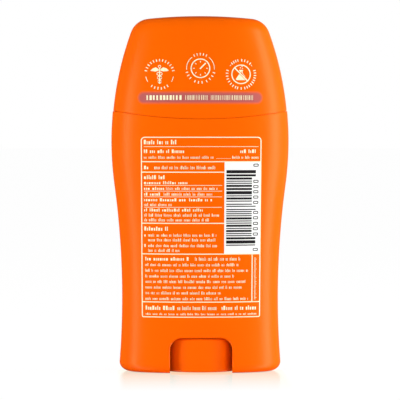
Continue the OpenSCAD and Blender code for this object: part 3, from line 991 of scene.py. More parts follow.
@dataclass
class InkSheet:
    """Flat marks drawn upright in front of the stick, which are then laid on its face as one thin skin."""

    name: str
    outline: Outline
    off: float = 0.03
    thickness: float = 0.03
    taper: float = 0.0
    taper_z: float = 45.0
    column: float = 1.5
    row: float = 3.0
    obj: Mesh = field(init=False)

    def __post_init__(self) -> None:
        """Opens an empty mesh for editing."""
        self.obj = add_object(self.name, bpy.data.meshes.new(self.name))
        make_active(self.obj)
        bpy.ops.object.mode_set(mode="EDIT")
        bpy.ops.mesh.select_mode(type="VERT")

    def bar(self, x0: float, x1: float, z0: float, z1: float, turn: float = 0.0) -> None:
        """Adds a bar.

        Args:
            x0: Left edge.
            x1: Right edge.
            z0: Lower edge.
            z1: Upper edge.
            turn: Angle in radians that it is turned clockwise about its middle.
        """
        middle = ((x0 + x1) / 2 * MM, 0, (z0 + z1) / 2 * MM)
        bpy.ops.mesh.select_all(action="DESELECT")
        bpy.ops.mesh.primitive_plane_add(size=1, location=middle, rotation=(QUARTER, 0, 0))
        bpy.ops.transform.resize(value=((x1 - x0) * MM, 1, (z1 - z0) * MM), center_override=middle)
        if turn:
            bpy.ops.transform.rotate(value=-turn, orient_axis="Y", center_override=middle)

    def disc(self, x: float, z: float, radius: float, points: int, hollow: float = 0.0) -> None:
        """Adds a disc or a ring.

        Args:
            x: Its middle, to the right.
            z: Its middle, upwards.
            radius: Its outer radius.
            points: Corners of its outline.
            hollow: Width of a ring's line, or 0 for a full disc.
        """
        bpy.ops.mesh.select_all(action="DESELECT")
        bpy.ops.mesh.primitive_circle_add(vertices=points, radius=radius * MM, fill_type="NGON",
                                          location=(x * MM, 0, z * MM), rotation=(QUARTER, 0, 0))
        if hollow:
            self.hollow_out(hollow)

    def hollow_out(self, line: float) -> None:
        """Leaves of the selected face only a line along its edge."""
        bpy.ops.mesh.inset(thickness=line * MM)
        bpy.ops.mesh.delete(type="FACE")

    def outline_frame(self, x0: float, x1: float, z0: float, z1: float, width: float, corners: Pair) -> None:
        """Adds a hollow frame.

        Args:
            x0: Left edge.
            x1: Right edge.
            z0: Lower edge.
            z1: Upper edge.
            width: Width of its line.
            corners: Radii of the upper and the lower corners.
        """
        high, low = corners
        points = []
        for x, z, radius, first in ((x1 - high, z1 - high, high, 0), (x0 + high, z1 - high, high, 90),
                                    (x0 + low, z0 + low, low, 180), (x1 - low, z0 + low, low, 270)):
            points += [(x + radius * math.cos(t), z + radius * math.sin(t))
                       for t in spread(math.radians(first), math.radians(first + 90), 9)]
        bpy.ops.mesh.select_all(action="DESELECT")
        self.polygon(points)
        self.hollow_out(width)

    def polygon(self, points: Iterable[Pair]) -> None:
        """Adds a filled shape and selects it.

        Args:
            points: Its corners as (x, z).
        """
        edit = bmesh.from_edit_mesh(self.obj.data)
        face = edit.faces.new([edit.verts.new((x * MM, 0, z * MM)) for x, z in points])
        face.normal_update()
        if face.normal.y > 0:
            face.normal_flip()
        face.select_set(True)
        bmesh.update_edit_mesh(self.obj.data)

    def marks(self, line: Line, order: random.Random) -> None:
        """Fills a printed line with plain strokes and blocks of uneven length, in place of words.

        Args:
            line: The printed line.
            order: Source of the unevenness.
        """
        for run in line.runs:
            stroke, gap = run.weight.value
            x = run.start
            left_in_word = order.randint(2, 8)
            while x < run.end - stroke:
                if left_in_word == 0:
                    x += gap + 0.35
                    left_in_word = order.randint(2, 9)
                    continue
                wide = stroke * order.choice((1, 1, 1.5, 2.1))
                tall = line.height * order.choice((0.68, 0.68, 0.72, 1.0))
                self.bar(x, min(x + wide, run.end), line.z, line.z + tall)
                x += wide + gap
                left_in_word -= 1

    def lay(self) -> Mesh:
        """Cuts the marks into short pieces, lays them on the face and gives them their thickness.

        Returns:
            The finished skin.
        """
        obj = self.obj
        bpy.ops.mesh.select_all(action="SELECT")
        spots = [v.co.copy() for v in bmesh.from_edit_mesh(obj.data).verts]
        for axis, step in ((0, self.column), (2, self.row)):
            low = min(spot[axis] for spot in spots) / MM
            high = max(spot[axis] for spot in spots) / MM
            cut = step * (math.floor(low / step) + 1)
            while cut < high:
                place, normal = [0.0, 0.0, 0.0], [0.0, 0.0, 0.0]
                place[axis], normal[axis] = cut * MM, 1.0
                bpy.ops.mesh.select_all(action="SELECT")
                bpy.ops.mesh.bisect(plane_co=place, plane_no=normal)
                cut += step
        bpy.ops.object.mode_set(mode="OBJECT")
        for vert in obj.data.vertices:
            vert.co.x *= 1 + self.taper * (vert.co.z / MM - self.taper_z)
            vert.co.y = (self.outline.front(vert.co.x / MM, vert.co.z / MM) - self.off) * MM
        step = obj.modifiers.new("ink", "SOLIDIFY")
        step.thickness = self.thickness * MM
        step.offset = 1
        make_active(obj)
        bpy.ops.object.modifier_apply(modifier=step.name)
        bpy.ops.object.shade_smooth_by_angle(angle=math.radians(30))
        return obj


@dataclass
class PanelPrint:
    """The print on the barrel: a frame with cross lines, plain marks, a white field and plain bars."""

    outline: Outline
    left: float = -20.1
    right: float = 20.1
    low: float = 18.85
    high: float = 79.7
    corners: Pair = (1.3, 0.6)
    line: float = 0.31
    thin: float = 0.15
    inset: float = 1.0
    title_lines: tuple[float, ...] = (76.4,)
    full_lines: tuple[float, ...] = (71.33, 40.24, 24.06)
    part_lines: tuple[float, ...] = (67.82, 50.6)
    thin_lines: tuple[float, ...] = (63.37, 61.45, 59.53, 56.0)
    upright: Triple = (17.1, 24.3, 40.0)
    dash: Triple = (4.9, 9.9, 72.4)
    side_marks: Triple = (18.0, 24.9, 0.42)
    side_count: int = 34
    field_left: float = 7.7
    field_low: float = 40.4
    field_high: float = 71.2
    taper: float = 0.0003
    bars: int = 28
    bar_ends: Triple = (8.35, 17.0, 18.3)
    bars_low: float = 43.05
    bars_high: float = 68.5
    guard: Pair = (54.9, 56.7)
    code_marks: tuple[float, ...] = (70.15, 64.7, 62.9, 61.2, 59.4, 57.6, 54.2, 52.4, 50.5, 48.7, 46.9, 41.7)
    code_edges: Pair = (17.45, 19.2)
    code_half: float = 0.5
    code_line: float = 0.27
    code_corner: float = 0.35

    def rules(self, ink: InkSheet) -> None:
        """Draws the frame and its cross lines.

        Args:
            ink: The skin that they are drawn on.
        """
        ink.outline_frame(self.left, self.right, self.low, self.high, self.line, self.corners)
        inside, inset = self.left + self.line, self.left + self.inset
        for heights, start, end, width in (
                (self.title_lines, inset, self.right - self.inset, self.thin),
                (self.full_lines, inside, self.right - self.line, self.line),
                (self.part_lines, inside, self.field_left, self.line),
                (self.thin_lines, inset, self.field_left - 0.8, self.thin)):
            for z in heights:
                ink.bar(start, end, z - width / 2, z + width / 2)
        x, foot, top = self.upright
        ink.bar(x, x + self.line, foot, top)
        start, end, z = self.dash
        ink.bar(start, end, z, z + self.thin / 2)

    def build_lines(self) -> Mesh:
        """Builds the frame and the rows of plain marks.

        Returns:
            The skin.
        """
        ink = InkSheet("panel_ink", self.outline, taper=self.taper)
        self.rules(ink)
        order = random.Random(11)
        for line in PANEL_LINES:
            ink.marks(line, order)
        x, low, pitch = self.side_marks
        for k in range(self.side_count):
            z = low + k * pitch
            ink.bar(x, x + order.choice((0.5, 0.5, 0.75)), z, z + 0.16)
        return self.finish(ink.lay(), "panel_print")

    def build_field(self) -> Mesh:
        """Builds the white field behind the bars.

        Returns:
            The skin.
        """
        ink = InkSheet("code_field", self.outline, off=0.025, thickness=0.02, taper=self.taper)
        ink.bar(self.field_left, self.right - self.line * 0.9, self.field_low, self.field_high)
        obj = ink.lay()
        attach(obj, "barrel")
        return obj

    def build_bars(self) -> Mesh:
        """Builds a plain pattern of bars with a column of small plain boxes beside it.

        Returns:
            The skin.
        """
        ink = InkSheet("code_ink", self.outline, off=0.055, thickness=0.02, taper=self.taper)
        order = random.Random(5)
        steps = [(order.choice((1, 1, 2, 2, 3)), order.choice((1, 1, 1, 2))) for _ in range(self.bars)]
        unit = (self.bars_high - self.bars_low) / (sum(map(sum, steps)) - steps[-1][1])
        left, short, long = self.bar_ends
        z = self.bars_high
        for k, (dark, light) in enumerate(steps):
            is_long = not 1 < k < self.bars - 3 or self.guard[0] < z - dark * unit / 2 < self.guard[1]
            ink.bar(left, long if is_long else short, z - dark * unit, z)
            z -= (dark + light) * unit
        corners = (self.code_corner, self.code_corner)
        for place in self.code_marks:
            low, high = place - self.code_half, place + self.code_half
            ink.outline_frame(*self.code_edges, low, high, self.code_line, corners)
        obj = self.finish(ink.lay(), "code_bars")
        return obj

    def finish(self, obj: Mesh, node: str) -> Mesh:
        """Puts a skin in place of a CAD node on the barrel.

        Args:
            obj: The skin.
            node: The node that it replaces.

        Returns:
            The skin.
        """
        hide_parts(node)
        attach(obj, "barrel")
        return obj


@dataclass
class Sign:
    """One round sign: its shapes are placed from its middle, and its angles run clockwise from the top."""

    ink: InkSheet
    x: float
    z: float
    text_r: float = 4.76
    text_half: Pair = (0.15, 0.42)
    arc_line: float = 0.2
    ring_r: float = 3.3
    ring_line: float = 0.35

    def at(self, radius: float, angle: float) -> Pair:
        """Returns the place at a distance and an angle in radians, measured from the sign's middle."""
        return radius * math.sin(angle), radius * math.cos(angle)

    def bar(self, middle: Pair, half: Pair, turn: float = 0.0) -> None:
        """Adds a bar from its middle and its half sizes, turned clockwise by an angle in radians."""
        x, z = self.x + middle[0], self.z + middle[1]
        self.ink.bar(x - half[0], x + half[0], z - half[1], z + half[1], turn)

    def shape(self, points: Iterable[Pair]) -> None:
        """Adds a filled shape from its corners."""
        self.ink.polygon([(self.x + px, self.z + pz) for px, pz in points])

    def ring(self) -> None:
        """Draws the sign's ring."""
        self.ink.disc(self.x, self.z, self.ring_r, 56, hollow=self.ring_line)

    def words(self, *spans: tuple[float, float, int]) -> None:
        """Sets short marks round the sign, in place of words.

        Args:
            spans: First angle, last angle and number of marks of each word, in degrees.
        """
        for first, last, count in spans:
            for angle in spread(math.radians(first), math.radians(last), count):
                self.bar(self.at(self.text_r, angle), self.text_half, angle)

    def arcs(self, *spans: Pair) -> None:
        """Draws thin arcs between the words.

        Args:
            spans: First and last angle of each arc, in degrees.
        """
        outer, inner = self.text_r, self.text_r - self.arc_line
        for first, last in spans:
            turns = spread(math.radians(first), math.radians(last), 15)
            for t0, t1 in zip(turns, turns[1:]):
                self.shape(self.at(r, t) for r, t in ((outer, t0), (outer, t1), (inner, t1), (inner, t0)))

    def draw_staff(self) -> None:
        """Draws a winged staff with two winding snakes, the old sign for medicine."""
        self.bar((0, -0.525), (0.16, 2.675))
        self.ink.disc(self.x, self.z + 2.64, 0.5, 20, hollow=0.2)
        wing = ((0.3, 1.75), (1.2, 2.35), (2.2, 2.05), (3.15, 1.25), (2.4, 1.05), (1.4, 0.95), (0.3, 1.2))
        for side in (-1, 1):
            self.shape((side * px, pz) for px, pz in wing)
            path = [(side * (1.1 - 0.065 * t) * math.sin(t), 0.8 - 1.3 * t / math.pi)
                    for t in spread(0, 3 * math.pi, 30)]
            for (x0, z0), (x1, z1) in zip(path, path[1:]):
                self.shape(((x0, z0 + 0.15), (x1, z1 + 0.15), (x1, z1 - 0.15), (x0, z0 - 0.15)))

    def draw_dial(self) -> None:
        """Draws a clock face with ticks and one long hand."""
        self.ring()
        for angle in spread(0, 7 * QUARTER / 2, 8):
            self.bar(self.at(2.2, angle), (0.12, 0.25), angle)
        self.bar((0.8, 0.8), (0.21, 1.4), math.radians(45))

    def draw_flask(self) -> None:
        """Draws a half full flask with bubbles, in a ring that a bar crosses."""
        self.ring()
        self.bar((0, 0), (0.2, 3.1), math.radians(-45))
        self.bar((0, 1.3), (0.65, 0.2))
        for points in (((-0.4, 1.15), (-0.4, 0.95), (0.1, 0.5), (0.15, 1.15)),
                       ((0.3, 1.15), (0.3, 0.45), (1.2, -0.72), (1.45, -0.9), (0.52, 0.5), (0.52, 1.15)),
                       ((-0.62, 0.1), (-1.82, -1.6), (-1.55, -1.95), (1.4, -1.95), (0.6, -1.1))):
            self.shape(points)
        for px, pz, radius in ((-0.2, 2.2, 0.2), (0.35, 2.65, 0.17), (0.5, 2.0, 0.14)):
            self.ink.disc(self.x + px, self.z + pz, radius, 14)


@dataclass
class CapPrint:
    """The print on the cap: a band with soft edges and three round signs."""

    outline: Outline
    middle: float = -0.3
    band_half: float = 20.78
    band_z: float = 92.85
    band_h: float = 3.8
    soft: float = 0.5
    mark_half: float = 0.8
    sign_pitch: float = 13.7
    sign_z: float = 102.7
    drop: float = 2.0

    def word(self, ink: InkSheet, start: float, end: float, wide: float, order: random.Random) -> None:
        """Fills a stretch of the band with upright strokes of uneven width in place of a word.

        Args:
            ink: The skin that they are drawn on.
            start: Left end.
            end: Right end.
            wide: Usual width of a stroke.
            order: Source of the unevenness.
        """
        x = start
        while x < end - wide / 2:
            stroke = wide * order.choice((0.8, 1.0, 1.3))
            ink.bar(x, min(x + stroke, end), self.band_z - self.mark_half, self.band_z + self.mark_half)
            x += stroke + wide * 0.25 + order.choice((0.22, 0.3, 0.42))

    def build_signs(self) -> Mesh:
        """Builds the three signs and the marks on the band.

        Returns:
            The skin.
        """
        ink = InkSheet("cap_ink", self.outline, off=0.06)
        low = self.sign_z - self.drop
        staff = Sign(ink, self.middle - self.sign_pitch, low)
        dial = Sign(ink, self.middle, self.sign_z)
        flask = Sign(ink, self.middle + self.sign_pitch, low)
        staff.draw_staff()
        dial.draw_dial()
        flask.draw_flask()
        staff.words((-75, 75, 13), (146, 214, 6))
        staff.arcs((100, 122), (238, 260))
        dial.words((-26, 25, 5), (108.3, 154.4, 4), (173.6, 203.5, 3), (226, 253.5, 3))
        dial.arcs((38, 95), (-95, -38))
        flask.words((-40, -13, 4), (3, 40, 4), (74, 165, 10), (180, 195, 2), (204, 286, 8))
        flask.arcs((47, 53), (-53, -47))
        order = random.Random(3)
        for start, end, wide in ((-18.4, -6.2, 0.58), (-5.4, 2.15, 0.18), (3.2, 17.55, 0.18)):
            self.word(ink, start, end, wide, order)
        obj = ink.lay()
        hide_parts("cap_signs")
        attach(obj, "cap")
        return obj

    def build_band(self) -> Mesh:
        """Builds the band, a little larger than its colour, so that its edge can fade.

        Returns:
            The skin.
        """
        ink = InkSheet("band_ink", self.outline, off=0.025, thickness=0.025, column=1.0)
        half, tall = self.band_half + self.soft, self.band_h / 2 + self.soft
        ink.bar(self.middle - half, self.middle + half, self.band_z - tall, self.band_z + tall)
        bpy.ops.mesh.bevel(affect="VERTICES", offset=tall * 0.98 * MM, segments=10)
        obj = ink.lay()
        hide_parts("cap_band")
        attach(obj, "cap")
        return obj


def set_inputs(node: Node, values: dict[str, object]) -> None:
    """Sets inputs of a node by their names."""
    for name, value in values.items():
        node.inputs[name].default_value = value


def start_group(name: str, inputs: dict[str, float], outputs: dict[str, str]) -> tuple[Tree, Node, Node]:
    """Starts a shared node group.

    Args:
        name: Name of the group.
        inputs: Its numbers, each with its usual value.
        outputs: The kind of each output.

    Returns:
        The group's tree, its input node and its output node.
    """
    tree = bpy.data.node_groups.new(name, "ShaderNodeTree")
    for socket, value in inputs.items():
        new = tree.interface.new_socket(name=socket, in_out="INPUT", socket_type="NodeSocketFloat")
        new.default_value = value
    for socket, kind in outputs.items():
        tree.interface.new_socket(name=socket, in_out="OUTPUT", socket_type=kind)
    return tree, tree.nodes.new("NodeGroupInput"), tree.nodes.new("NodeGroupOutput")


def place_parts(tree: Tree, kind: str) -> tuple[Socket, Socket, Socket]:
    """Adds texture coordinates.

    Args:
        tree: Where they go.
        kind: Which of the node's coordinates.

    Returns:
        Their X, Y and Z sockets.
    """
    place = tree.nodes.new("ShaderNodeTexCoord")
    parts = tree.nodes.new("ShaderNodeSeparateXYZ")
    tree.links.new(place.outputs[kind], parts.inputs[0])
    return parts.outputs["X"], parts.outputs["Y"], parts.outputs["Z"]


def calculate(tree: Tree, operation: str, *inputs: object, clamp: bool = False) -> Socket:
    """Adds a math node.

    Args:
        tree: Where it goes.
        operation: Its operation.
        inputs: Sockets to link, or numbers to set.
        clamp: Whether the result is kept from 0 to 1.

    Returns:
        Its output socket.
    """
    node = tree.nodes.new("ShaderNodeMath")
    node.operation = operation
    node.use_clamp = clamp
    for number, source in enumerate(inputs):
        if isinstance(source, Socket):
            tree.links.new(source, node.inputs[number])
        else:
            node.inputs[number].default_value = source
    return node.outputs[0]


def ramp(tree: Tree, value: Socket, reach: Pair, result: Pair) -> Socket:
    """Adds a straight ramp that is clamped at both ends.

    Args:
        tree: Where it goes.
        value: What it runs on.
        reach: Where the ramp starts and ends.
        result: What it gives at its start and its end.

    Returns:
        Its output socket.
    """
    node = tree.nodes.new("ShaderNodeMapRange")
    set_inputs(node, {"From Min": reach[0], "From Max": reach[1], "To Min": result[0], "To Max": result[1]})
    tree.links.new(value, node.inputs["Value"])
    return node.outputs["Result"]


def blend_colours(tree: Tree, share: Socket, first: Triple | Socket, second: Triple | Socket) -> Socket:
    """Adds a colour mix.

    Args:
        tree: Where it goes.
        share: How much of the second colour shows.
        first: A colour, or the socket that gives it.
        second: A colour, or the socket that gives it.

    Returns:
        The mixed colour's socket.
    """
    mix = tree.nodes.new("ShaderNodeMix")
    mix.data_type = "RGBA"
    tree.links.new(share, mix.inputs["Factor"])
    for source, socket in ((first, mix.inputs[6]), (second, mix.inputs[7])):
        if isinstance(source, Socket):
            tree.links.new(source, socket)
        else:
            socket.default_value = (*source, 1.0)
    return mix.outputs[2]


def mix_shaders(tree: Tree, share: float | Socket, first: Node, second: Node) -> Node:
    """Mixes two shaders.

    Args:
        tree: Where the mix goes.
        share: How much of the second one shows, as a number or a socket.
        first: A shader.
        second: A shader.

    Returns:
        The mix.
    """
    mix = tree.nodes.new("ShaderNodeMixShader")
    if isinstance(share, Socket):
        tree.links.new(share, mix.inputs["Fac"])
    else:
        mix.inputs["Fac"].default_value = share
    tree.links.new(first.outputs[0], mix.inputs[1])
    tree.links.new(second.outputs[0], mix.inputs[2])
    return mix


def moulded_grain() -> Tree:
    """Makes the group that gives plastic its fine grain, slow waves and uneven gloss.

    Returns:
        The group's tree.
    """
    tree, start, end = start_group(
        "moulded_grain",
        {"Grain Scale": 2600.0, "Grain Depth": 0.02, "Wave Scale": 60.0, "Roughness": 0.4, "Uneven": 0.05},
        {"Roughness": "NodeSocketFloat", "Normal": "NodeSocketVector", "Tone": "NodeSocketFloat"})
    place = tree.nodes.new("ShaderNodeTexCoord")
    grain = tree.nodes.new("ShaderNodeTexNoise")
    wave = tree.nodes.new("ShaderNodeTexNoise")
    for noise, name, detail in ((grain, "Grain Scale", 2.0), (wave, "Wave Scale", 3.0)):
        noise.inputs["Detail"].default_value = detail
        tree.links.new(place.outputs["Object"], noise.inputs["Vector"])
        tree.links.new(start.outputs[name], noise.inputs["Scale"])
    centred = calculate(tree, "SUBTRACT", wave.outputs["Fac"], 0.5)
    uneven = calculate(tree, "MULTIPLY", centred, start.outputs["Uneven"])
    bump = tree.nodes.new("ShaderNodeBump")
    bump.inputs["Distance"].default_value = 0.02 * MM
    tree.links.new(start.outputs["Grain Depth"], bump.inputs["Strength"])
    tree.links.new(grain.outputs["Fac"], bump.inputs["Height"])
    tree.links.new(calculate(tree, "ADD", start.outputs["Roughness"], uneven), end.inputs["Roughness"])
    tree.links.new(bump.outputs["Normal"], end.inputs["Normal"])
    tree.links.new(wave.outputs["Fac"], end.inputs["Tone"])
    return tree


def soft_pill() -> Tree:
    """Makes the group that masks a lying pill shape with soft edges, on Object coordinates.

    Returns:
        The group's tree.
    """
    names = ("Middle X", "Middle Z", "Half Length", "Radius", "Softness")
    tree, start, end = start_group("soft_pill", dict.fromkeys(names, 0.0), {"Mask": "NodeSocketFloat"})
    given = start.outputs
    x, _, z = place_parts(tree, "Object")
    x = calculate(tree, "ABSOLUTE", calculate(tree, "SUBTRACT", x, given["Middle X"]))
    straight = calculate(tree, "SUBTRACT", given["Half Length"], given["Radius"])
    over = calculate(tree, "MAXIMUM", calculate(tree, "SUBTRACT", x, straight), 0.0)
    z = calculate(tree, "SUBTRACT", z, given["Middle Z"])
    squares = calculate(tree, "ADD", calculate(tree, "MULTIPLY", over, over),
                        calculate(tree, "MULTIPLY", z, z))
    inside = calculate(tree, "SUBTRACT", given["Radius"], calculate(tree, "SQRT", squares))
    share = calculate(tree, "DIVIDE", inside, given["Softness"])
    tree.links.new(calculate(tree, "ADD", share, 0.5, clamp=True), end.inputs["Mask"])
    return tree


@dataclass(frozen=True)
class PlasticFinish:
    """Moulded plastic or ink: a colour, a darker tone that comes and goes, gloss and a fine grain."""

    name: str
    colour: Triple
    tone: Triple
    roughness: float = 0.4
    uneven: float = 0.05
    grain_depth: float = 0.3
    grain_scale: float = 2600.0
    specular: float = 0.5
    gloss_tint: Triple = (1.0, 1.0, 1.0)
    subsurface: float = 0.0
    subsurface_radius: Triple = (0.6, 0.5, 0.4)

    def shade(self, grain: Tree) -> bpy.types.Material:
        """Builds the material.

        Args:
            grain: The shared group for grain and gloss.

        Returns:
            The finished material.
        """
        material = bpy.data.materials.new(self.name)
        material.use_nodes = True
        tree = material.node_tree
        shader = tree.nodes["Principled BSDF"]
        set_inputs(shader, {"Specular IOR Level": self.specular, "Specular Tint": (*self.gloss_tint, 1.0)})
        if self.subsurface:
            set_inputs(shader, {"Subsurface Weight": self.subsurface, "Subsurface Scale": MM,
                                "Subsurface Radius": self.subsurface_radius})
        group = tree.nodes.new("ShaderNodeGroup")
        group.node_tree = grain
        set_inputs(group, {"Grain Scale": self.grain_scale, "Grain Depth": self.grain_depth,
                           "Roughness": self.roughness, "Uneven": self.uneven})
        tree.links.new(group.outputs["Roughness"], shader.inputs["Roughness"])
        tree.links.new(group.outputs["Normal"], shader.inputs["Normal"])
        tree.links.new(self.mix_colour(tree, group.outputs["Tone"]), shader.inputs["Base Color"])
        return material

    def mix_colour(self, tree: Tree, tone: Socket) -> Socket:
        """Mixes the colour with its darker tone by the slow waves."""
        return blend_colours(tree, tone, self.colour, self.tone)


@dataclass(frozen=True)
class BandFinish(PlasticFinish):
    """Ink that fades into the plastic under it at the edge of the band."""

    under: Triple = (1.0, 0.138, 0.0)
    middle: Pair = (-0.3, 92.85)
    half_length: float = 20.78
    radius: float = 1.78
    soft: float = 1.0

    def mix_colour(self, tree: Tree, tone: Socket) -> Socket:
        """Mixes the band's colour with the plastic's by the pill's mask.

        Args:
            tree: The material's node tree.
            tone: Socket of the slow waves.

        Returns:
            The mixed colour's socket.
        """
        ink = blend_colours(tree, tone, self.colour, self.tone)
        group = tree.nodes.new("ShaderNodeGroup")
        group.node_tree = soft_pill()
        set_inputs(group, {"Middle X": self.middle[0] * MM, "Middle Z": self.middle[1] * MM,
                           "Half Length": self.half_length * MM, "Radius": self.radius * MM,
                           "Softness": self.soft * MM})
        return blend_colours(tree, group.outputs["Mask"], self.under, ink)


ORANGE = PlasticFinish("orange_plastic", (1.0, 0.138, 0.0), (0.985, 0.13, 0.0), roughness=0.31, specular=0.05,
                       gloss_tint=(1.0, 1.0, 0.55))
WHITE = PlasticFinish("white_plastic", (0.86, 0.86, 0.84), (0.83, 0.83, 0.81), roughness=0.38, specular=0.2,
                      subsurface=0.15)
CREAM = PlasticFinish("cream_gloss", (0.9, 0.88, 0.82), (0.86, 0.84, 0.77), roughness=0.3, specular=0.25,
                      subsurface=0.3, grain_depth=0.6, grain_scale=900.0)
INK_WHITE = PlasticFinish("ink_cream_white", (1.0, 0.96, 0.64), (0.98, 0.93, 0.61), roughness=0.42,
                          grain_depth=0.2, specular=0.1)
FIELD_WHITE = PlasticFinish("ink_field_white", (0.96, 0.97, 0.95), (0.94, 0.95, 0.93), roughness=0.42,
                            grain_depth=0.2, specular=0.1)
INK_DARK = PlasticFinish("ink_dark", (0.012, 0.011, 0.012), (0.018, 0.016, 0.018), roughness=0.45,
                         grain_depth=0.2, specular=0.1)
INK_BAND = BandFinish("ink_mauve", (0.51, 0.12, 0.113), (0.49, 0.112, 0.106), roughness=0.42, grain_depth=0.2,
                      specular=0.05)


class Lamp(NamedTuple):
    """A soft box that points at the stick; degrees, metres and watts."""

    name: str
    azimuth: float
    reach: float
    height: float
    size: Pair
    power: float
    glossy: bool


@dataclass
class Studio:
    """A pale floor, a white ground, soft light from the front and both sides, and the camera."""

    distance: float = 1.0
    eye_z: float = 0.0796
    aim_z: float = 0.05815
    turn: float = math.radians(1.8)
    view_width: float = 0.1364
    sensor: float = 36.0
    even_light: float = 0.38
    mirror_base: float = 0.03
    mirror: float = 0.3
    # Painted reflection: a warm tint laid into the floor's glow before the foot, standing in for the orange
    # stick's reflection.
    foot_painted_reflection: Triple = (1.0, 1.0, 0.835)
    # Painted reflection: an orange tint laid into the floor's glow before the knob window, in place of the
    # knob's rendered reflection.
    knob_painted_reflection: Triple = (1.0, 0.66, 0.45)
    clip_end: float = 50.0
    lamp_aim: Triple = (0.0, 0.0, 0.06)
    behind_y: Pair = (0.975, 0.99)
    behind_z: Pair = (0.14, 0.2)
    seen_at: Pair = (0.84, 0.9)
    front_y: Pair = (0.0, 0.006)
    foot_y: Pair = (-0.086, -0.012)
    foot_x: Pair = (0.026, 0.0285)
    foot_fade: float = 1.3
    window_y: Pair = (-0.021, -0.0165)
    window_x: Pair = (0.01, 0.0108)
    floor_size: float = 40.0
    floor_colour: Triple = (0.9, 0.9, 0.9)
    floor_glow: float = 1.03
    floor_shade: float = 0.06
    floor_gloss: float = 0.12
    lamps: tuple[Lamp, ...] = (
        Lamp("front_light", 0, 1.35, 0.3, (1.2, 0.9), 0.6, False),
        Lamp("quarter_light", 42, 1.2, 0.3, (0.4, 0.7), 4.5, False),
        Lamp("left_light", -68, 0.85, 0.15, (0.4, 0.7), 5.2, False),
        Lamp("right_light", 92, 0.85, 0.15, (0.5, 0.7), 8.4, False),
        Lamp("left_strip", -73, 0.64, -0.15, (0.14, 1.1), 8.6, True),
        Lamp("right_strip", 77, 0.64, 0.0, (0.24, 1.1), 14.5, True),
        Lamp("right_rim", 130, 0.7, 0.05, (0.4, 0.7), 0.3, True),
    )

    def camera(self) -> None:
        """Places the camera almost level, at the height where the panel's upper edge looks straight."""
        data = bpy.data.cameras.new("camera")
        data.sensor_width = self.sensor
        data.lens = self.sensor * self.distance / self.view_width
        data.clip_end = self.clip_end
        obj = add_object("camera", data)
        obj.location = (-self.distance * math.sin(self.turn), -self.distance * math.cos(self.turn),
                        self.eye_z)
        tilt = math.atan2(self.eye_z - self.aim_z, self.distance)
        obj.rotation_euler = (QUARTER - tilt, 0, -self.turn)
        bpy.context.scene.camera = obj

    def light(self, lamp: Lamp) -> None:
        """Adds a lamp that only shows in gloss, or else one that only lights surfaces.

        Args:
            lamp: The lamp's row.
        """
        data = bpy.data.lights.new(lamp.name, "AREA")
        data.shape = "RECTANGLE"
        data.size, data.size_y = lamp.size
        data.energy = lamp.power
        obj = add_object(lamp.name, data)
        turn = math.radians(lamp.azimuth)
        place = Vector((lamp.reach * math.sin(turn), -lamp.reach * math.cos(turn), lamp.height))
        obj.location = place
        obj.rotation_euler = (Vector(self.lamp_aim) - place).to_track_quat("-Z", "Y").to_euler()
        obj.visible_glossy = lamp.glossy
        obj.visible_diffuse = not lamp.glossy

    def world(self) -> None:
        """Makes a ground: white for the camera, even for surfaces, and for gloss white only low behind."""
        world = bpy.data.worlds.new("studio_world")
        world.use_nodes = True
        world.cycles.sampling_method = "NONE"
        bpy.context.scene.world = world
        tree = world.node_tree
        ground = tree.nodes["Background"]
        ray = tree.nodes.new("ShaderNodeLightPath").outputs
        _, y, z = place_parts(tree, "Generated")
        behind = calculate(tree, "MULTIPLY", ramp(tree, y, self.behind_y, (0.0, 1.0)),
                           ramp(tree, z, self.behind_z, (1.0, 0.0)))
        mirrored = calculate(tree, "ADD", behind, self.mirror_base)
        glossy = calculate(tree, "MULTIPLY", mirrored, ray["Is Glossy Ray"])
        even = calculate(tree, "MULTIPLY", ray["Is Diffuse Ray"], self.even_light)
        strength = calculate(tree, "MAXIMUM", calculate(tree, "ADD", glossy, even), ray["Is Camera Ray"])
        ground.inputs["Color"].default_value = (1, 1, 1, 1)
        tree.links.new(strength, ground.inputs["Strength"])

    def foot_masks(self, tree: Tree) -> tuple[Socket, Socket]:
        """Masks two places on the floor before the foot, both only where it is seen at a slant.

        Args:
            tree: The floor's node tree.

        Returns:
            The floor in front of the foot, which fades further out and places both its rendered reflection
            and its painted warm reflection tint, and the strip before the knob window, where a painted orange
            reflection takes the place of the rendered one.
        """
        x, y, _ = place_parts(tree, "Object")
        side = calculate(tree, "ABSOLUTE", x)
        slant = tree.nodes.new("ShaderNodeLayerWeight")
        seen = calculate(tree, "MULTIPLY", ramp(tree, slant.outputs["Facing"], self.seen_at, (0.0, 1.0)),
                         ramp(tree, y, self.front_y, (1.0, 0.0)))
        near = calculate(tree, "POWER", ramp(tree, y, self.foot_y, (0.0, 1.0)), self.foot_fade)
        near = calculate(tree, "MULTIPLY", near, ramp(tree, side, self.foot_x, (1.0, 0.0)))
        # This mask places the painted orange reflection before the knob window.
        mouth = calculate(tree, "MULTIPLY", ramp(tree, y, self.window_y, (0.0, 1.0)),
                          ramp(tree, side, self.window_x, (1.0, 0.0)))
        return calculate(tree, "MULTIPLY", near, seen), calculate(tree, "MULTIPLY", mouth, seen)

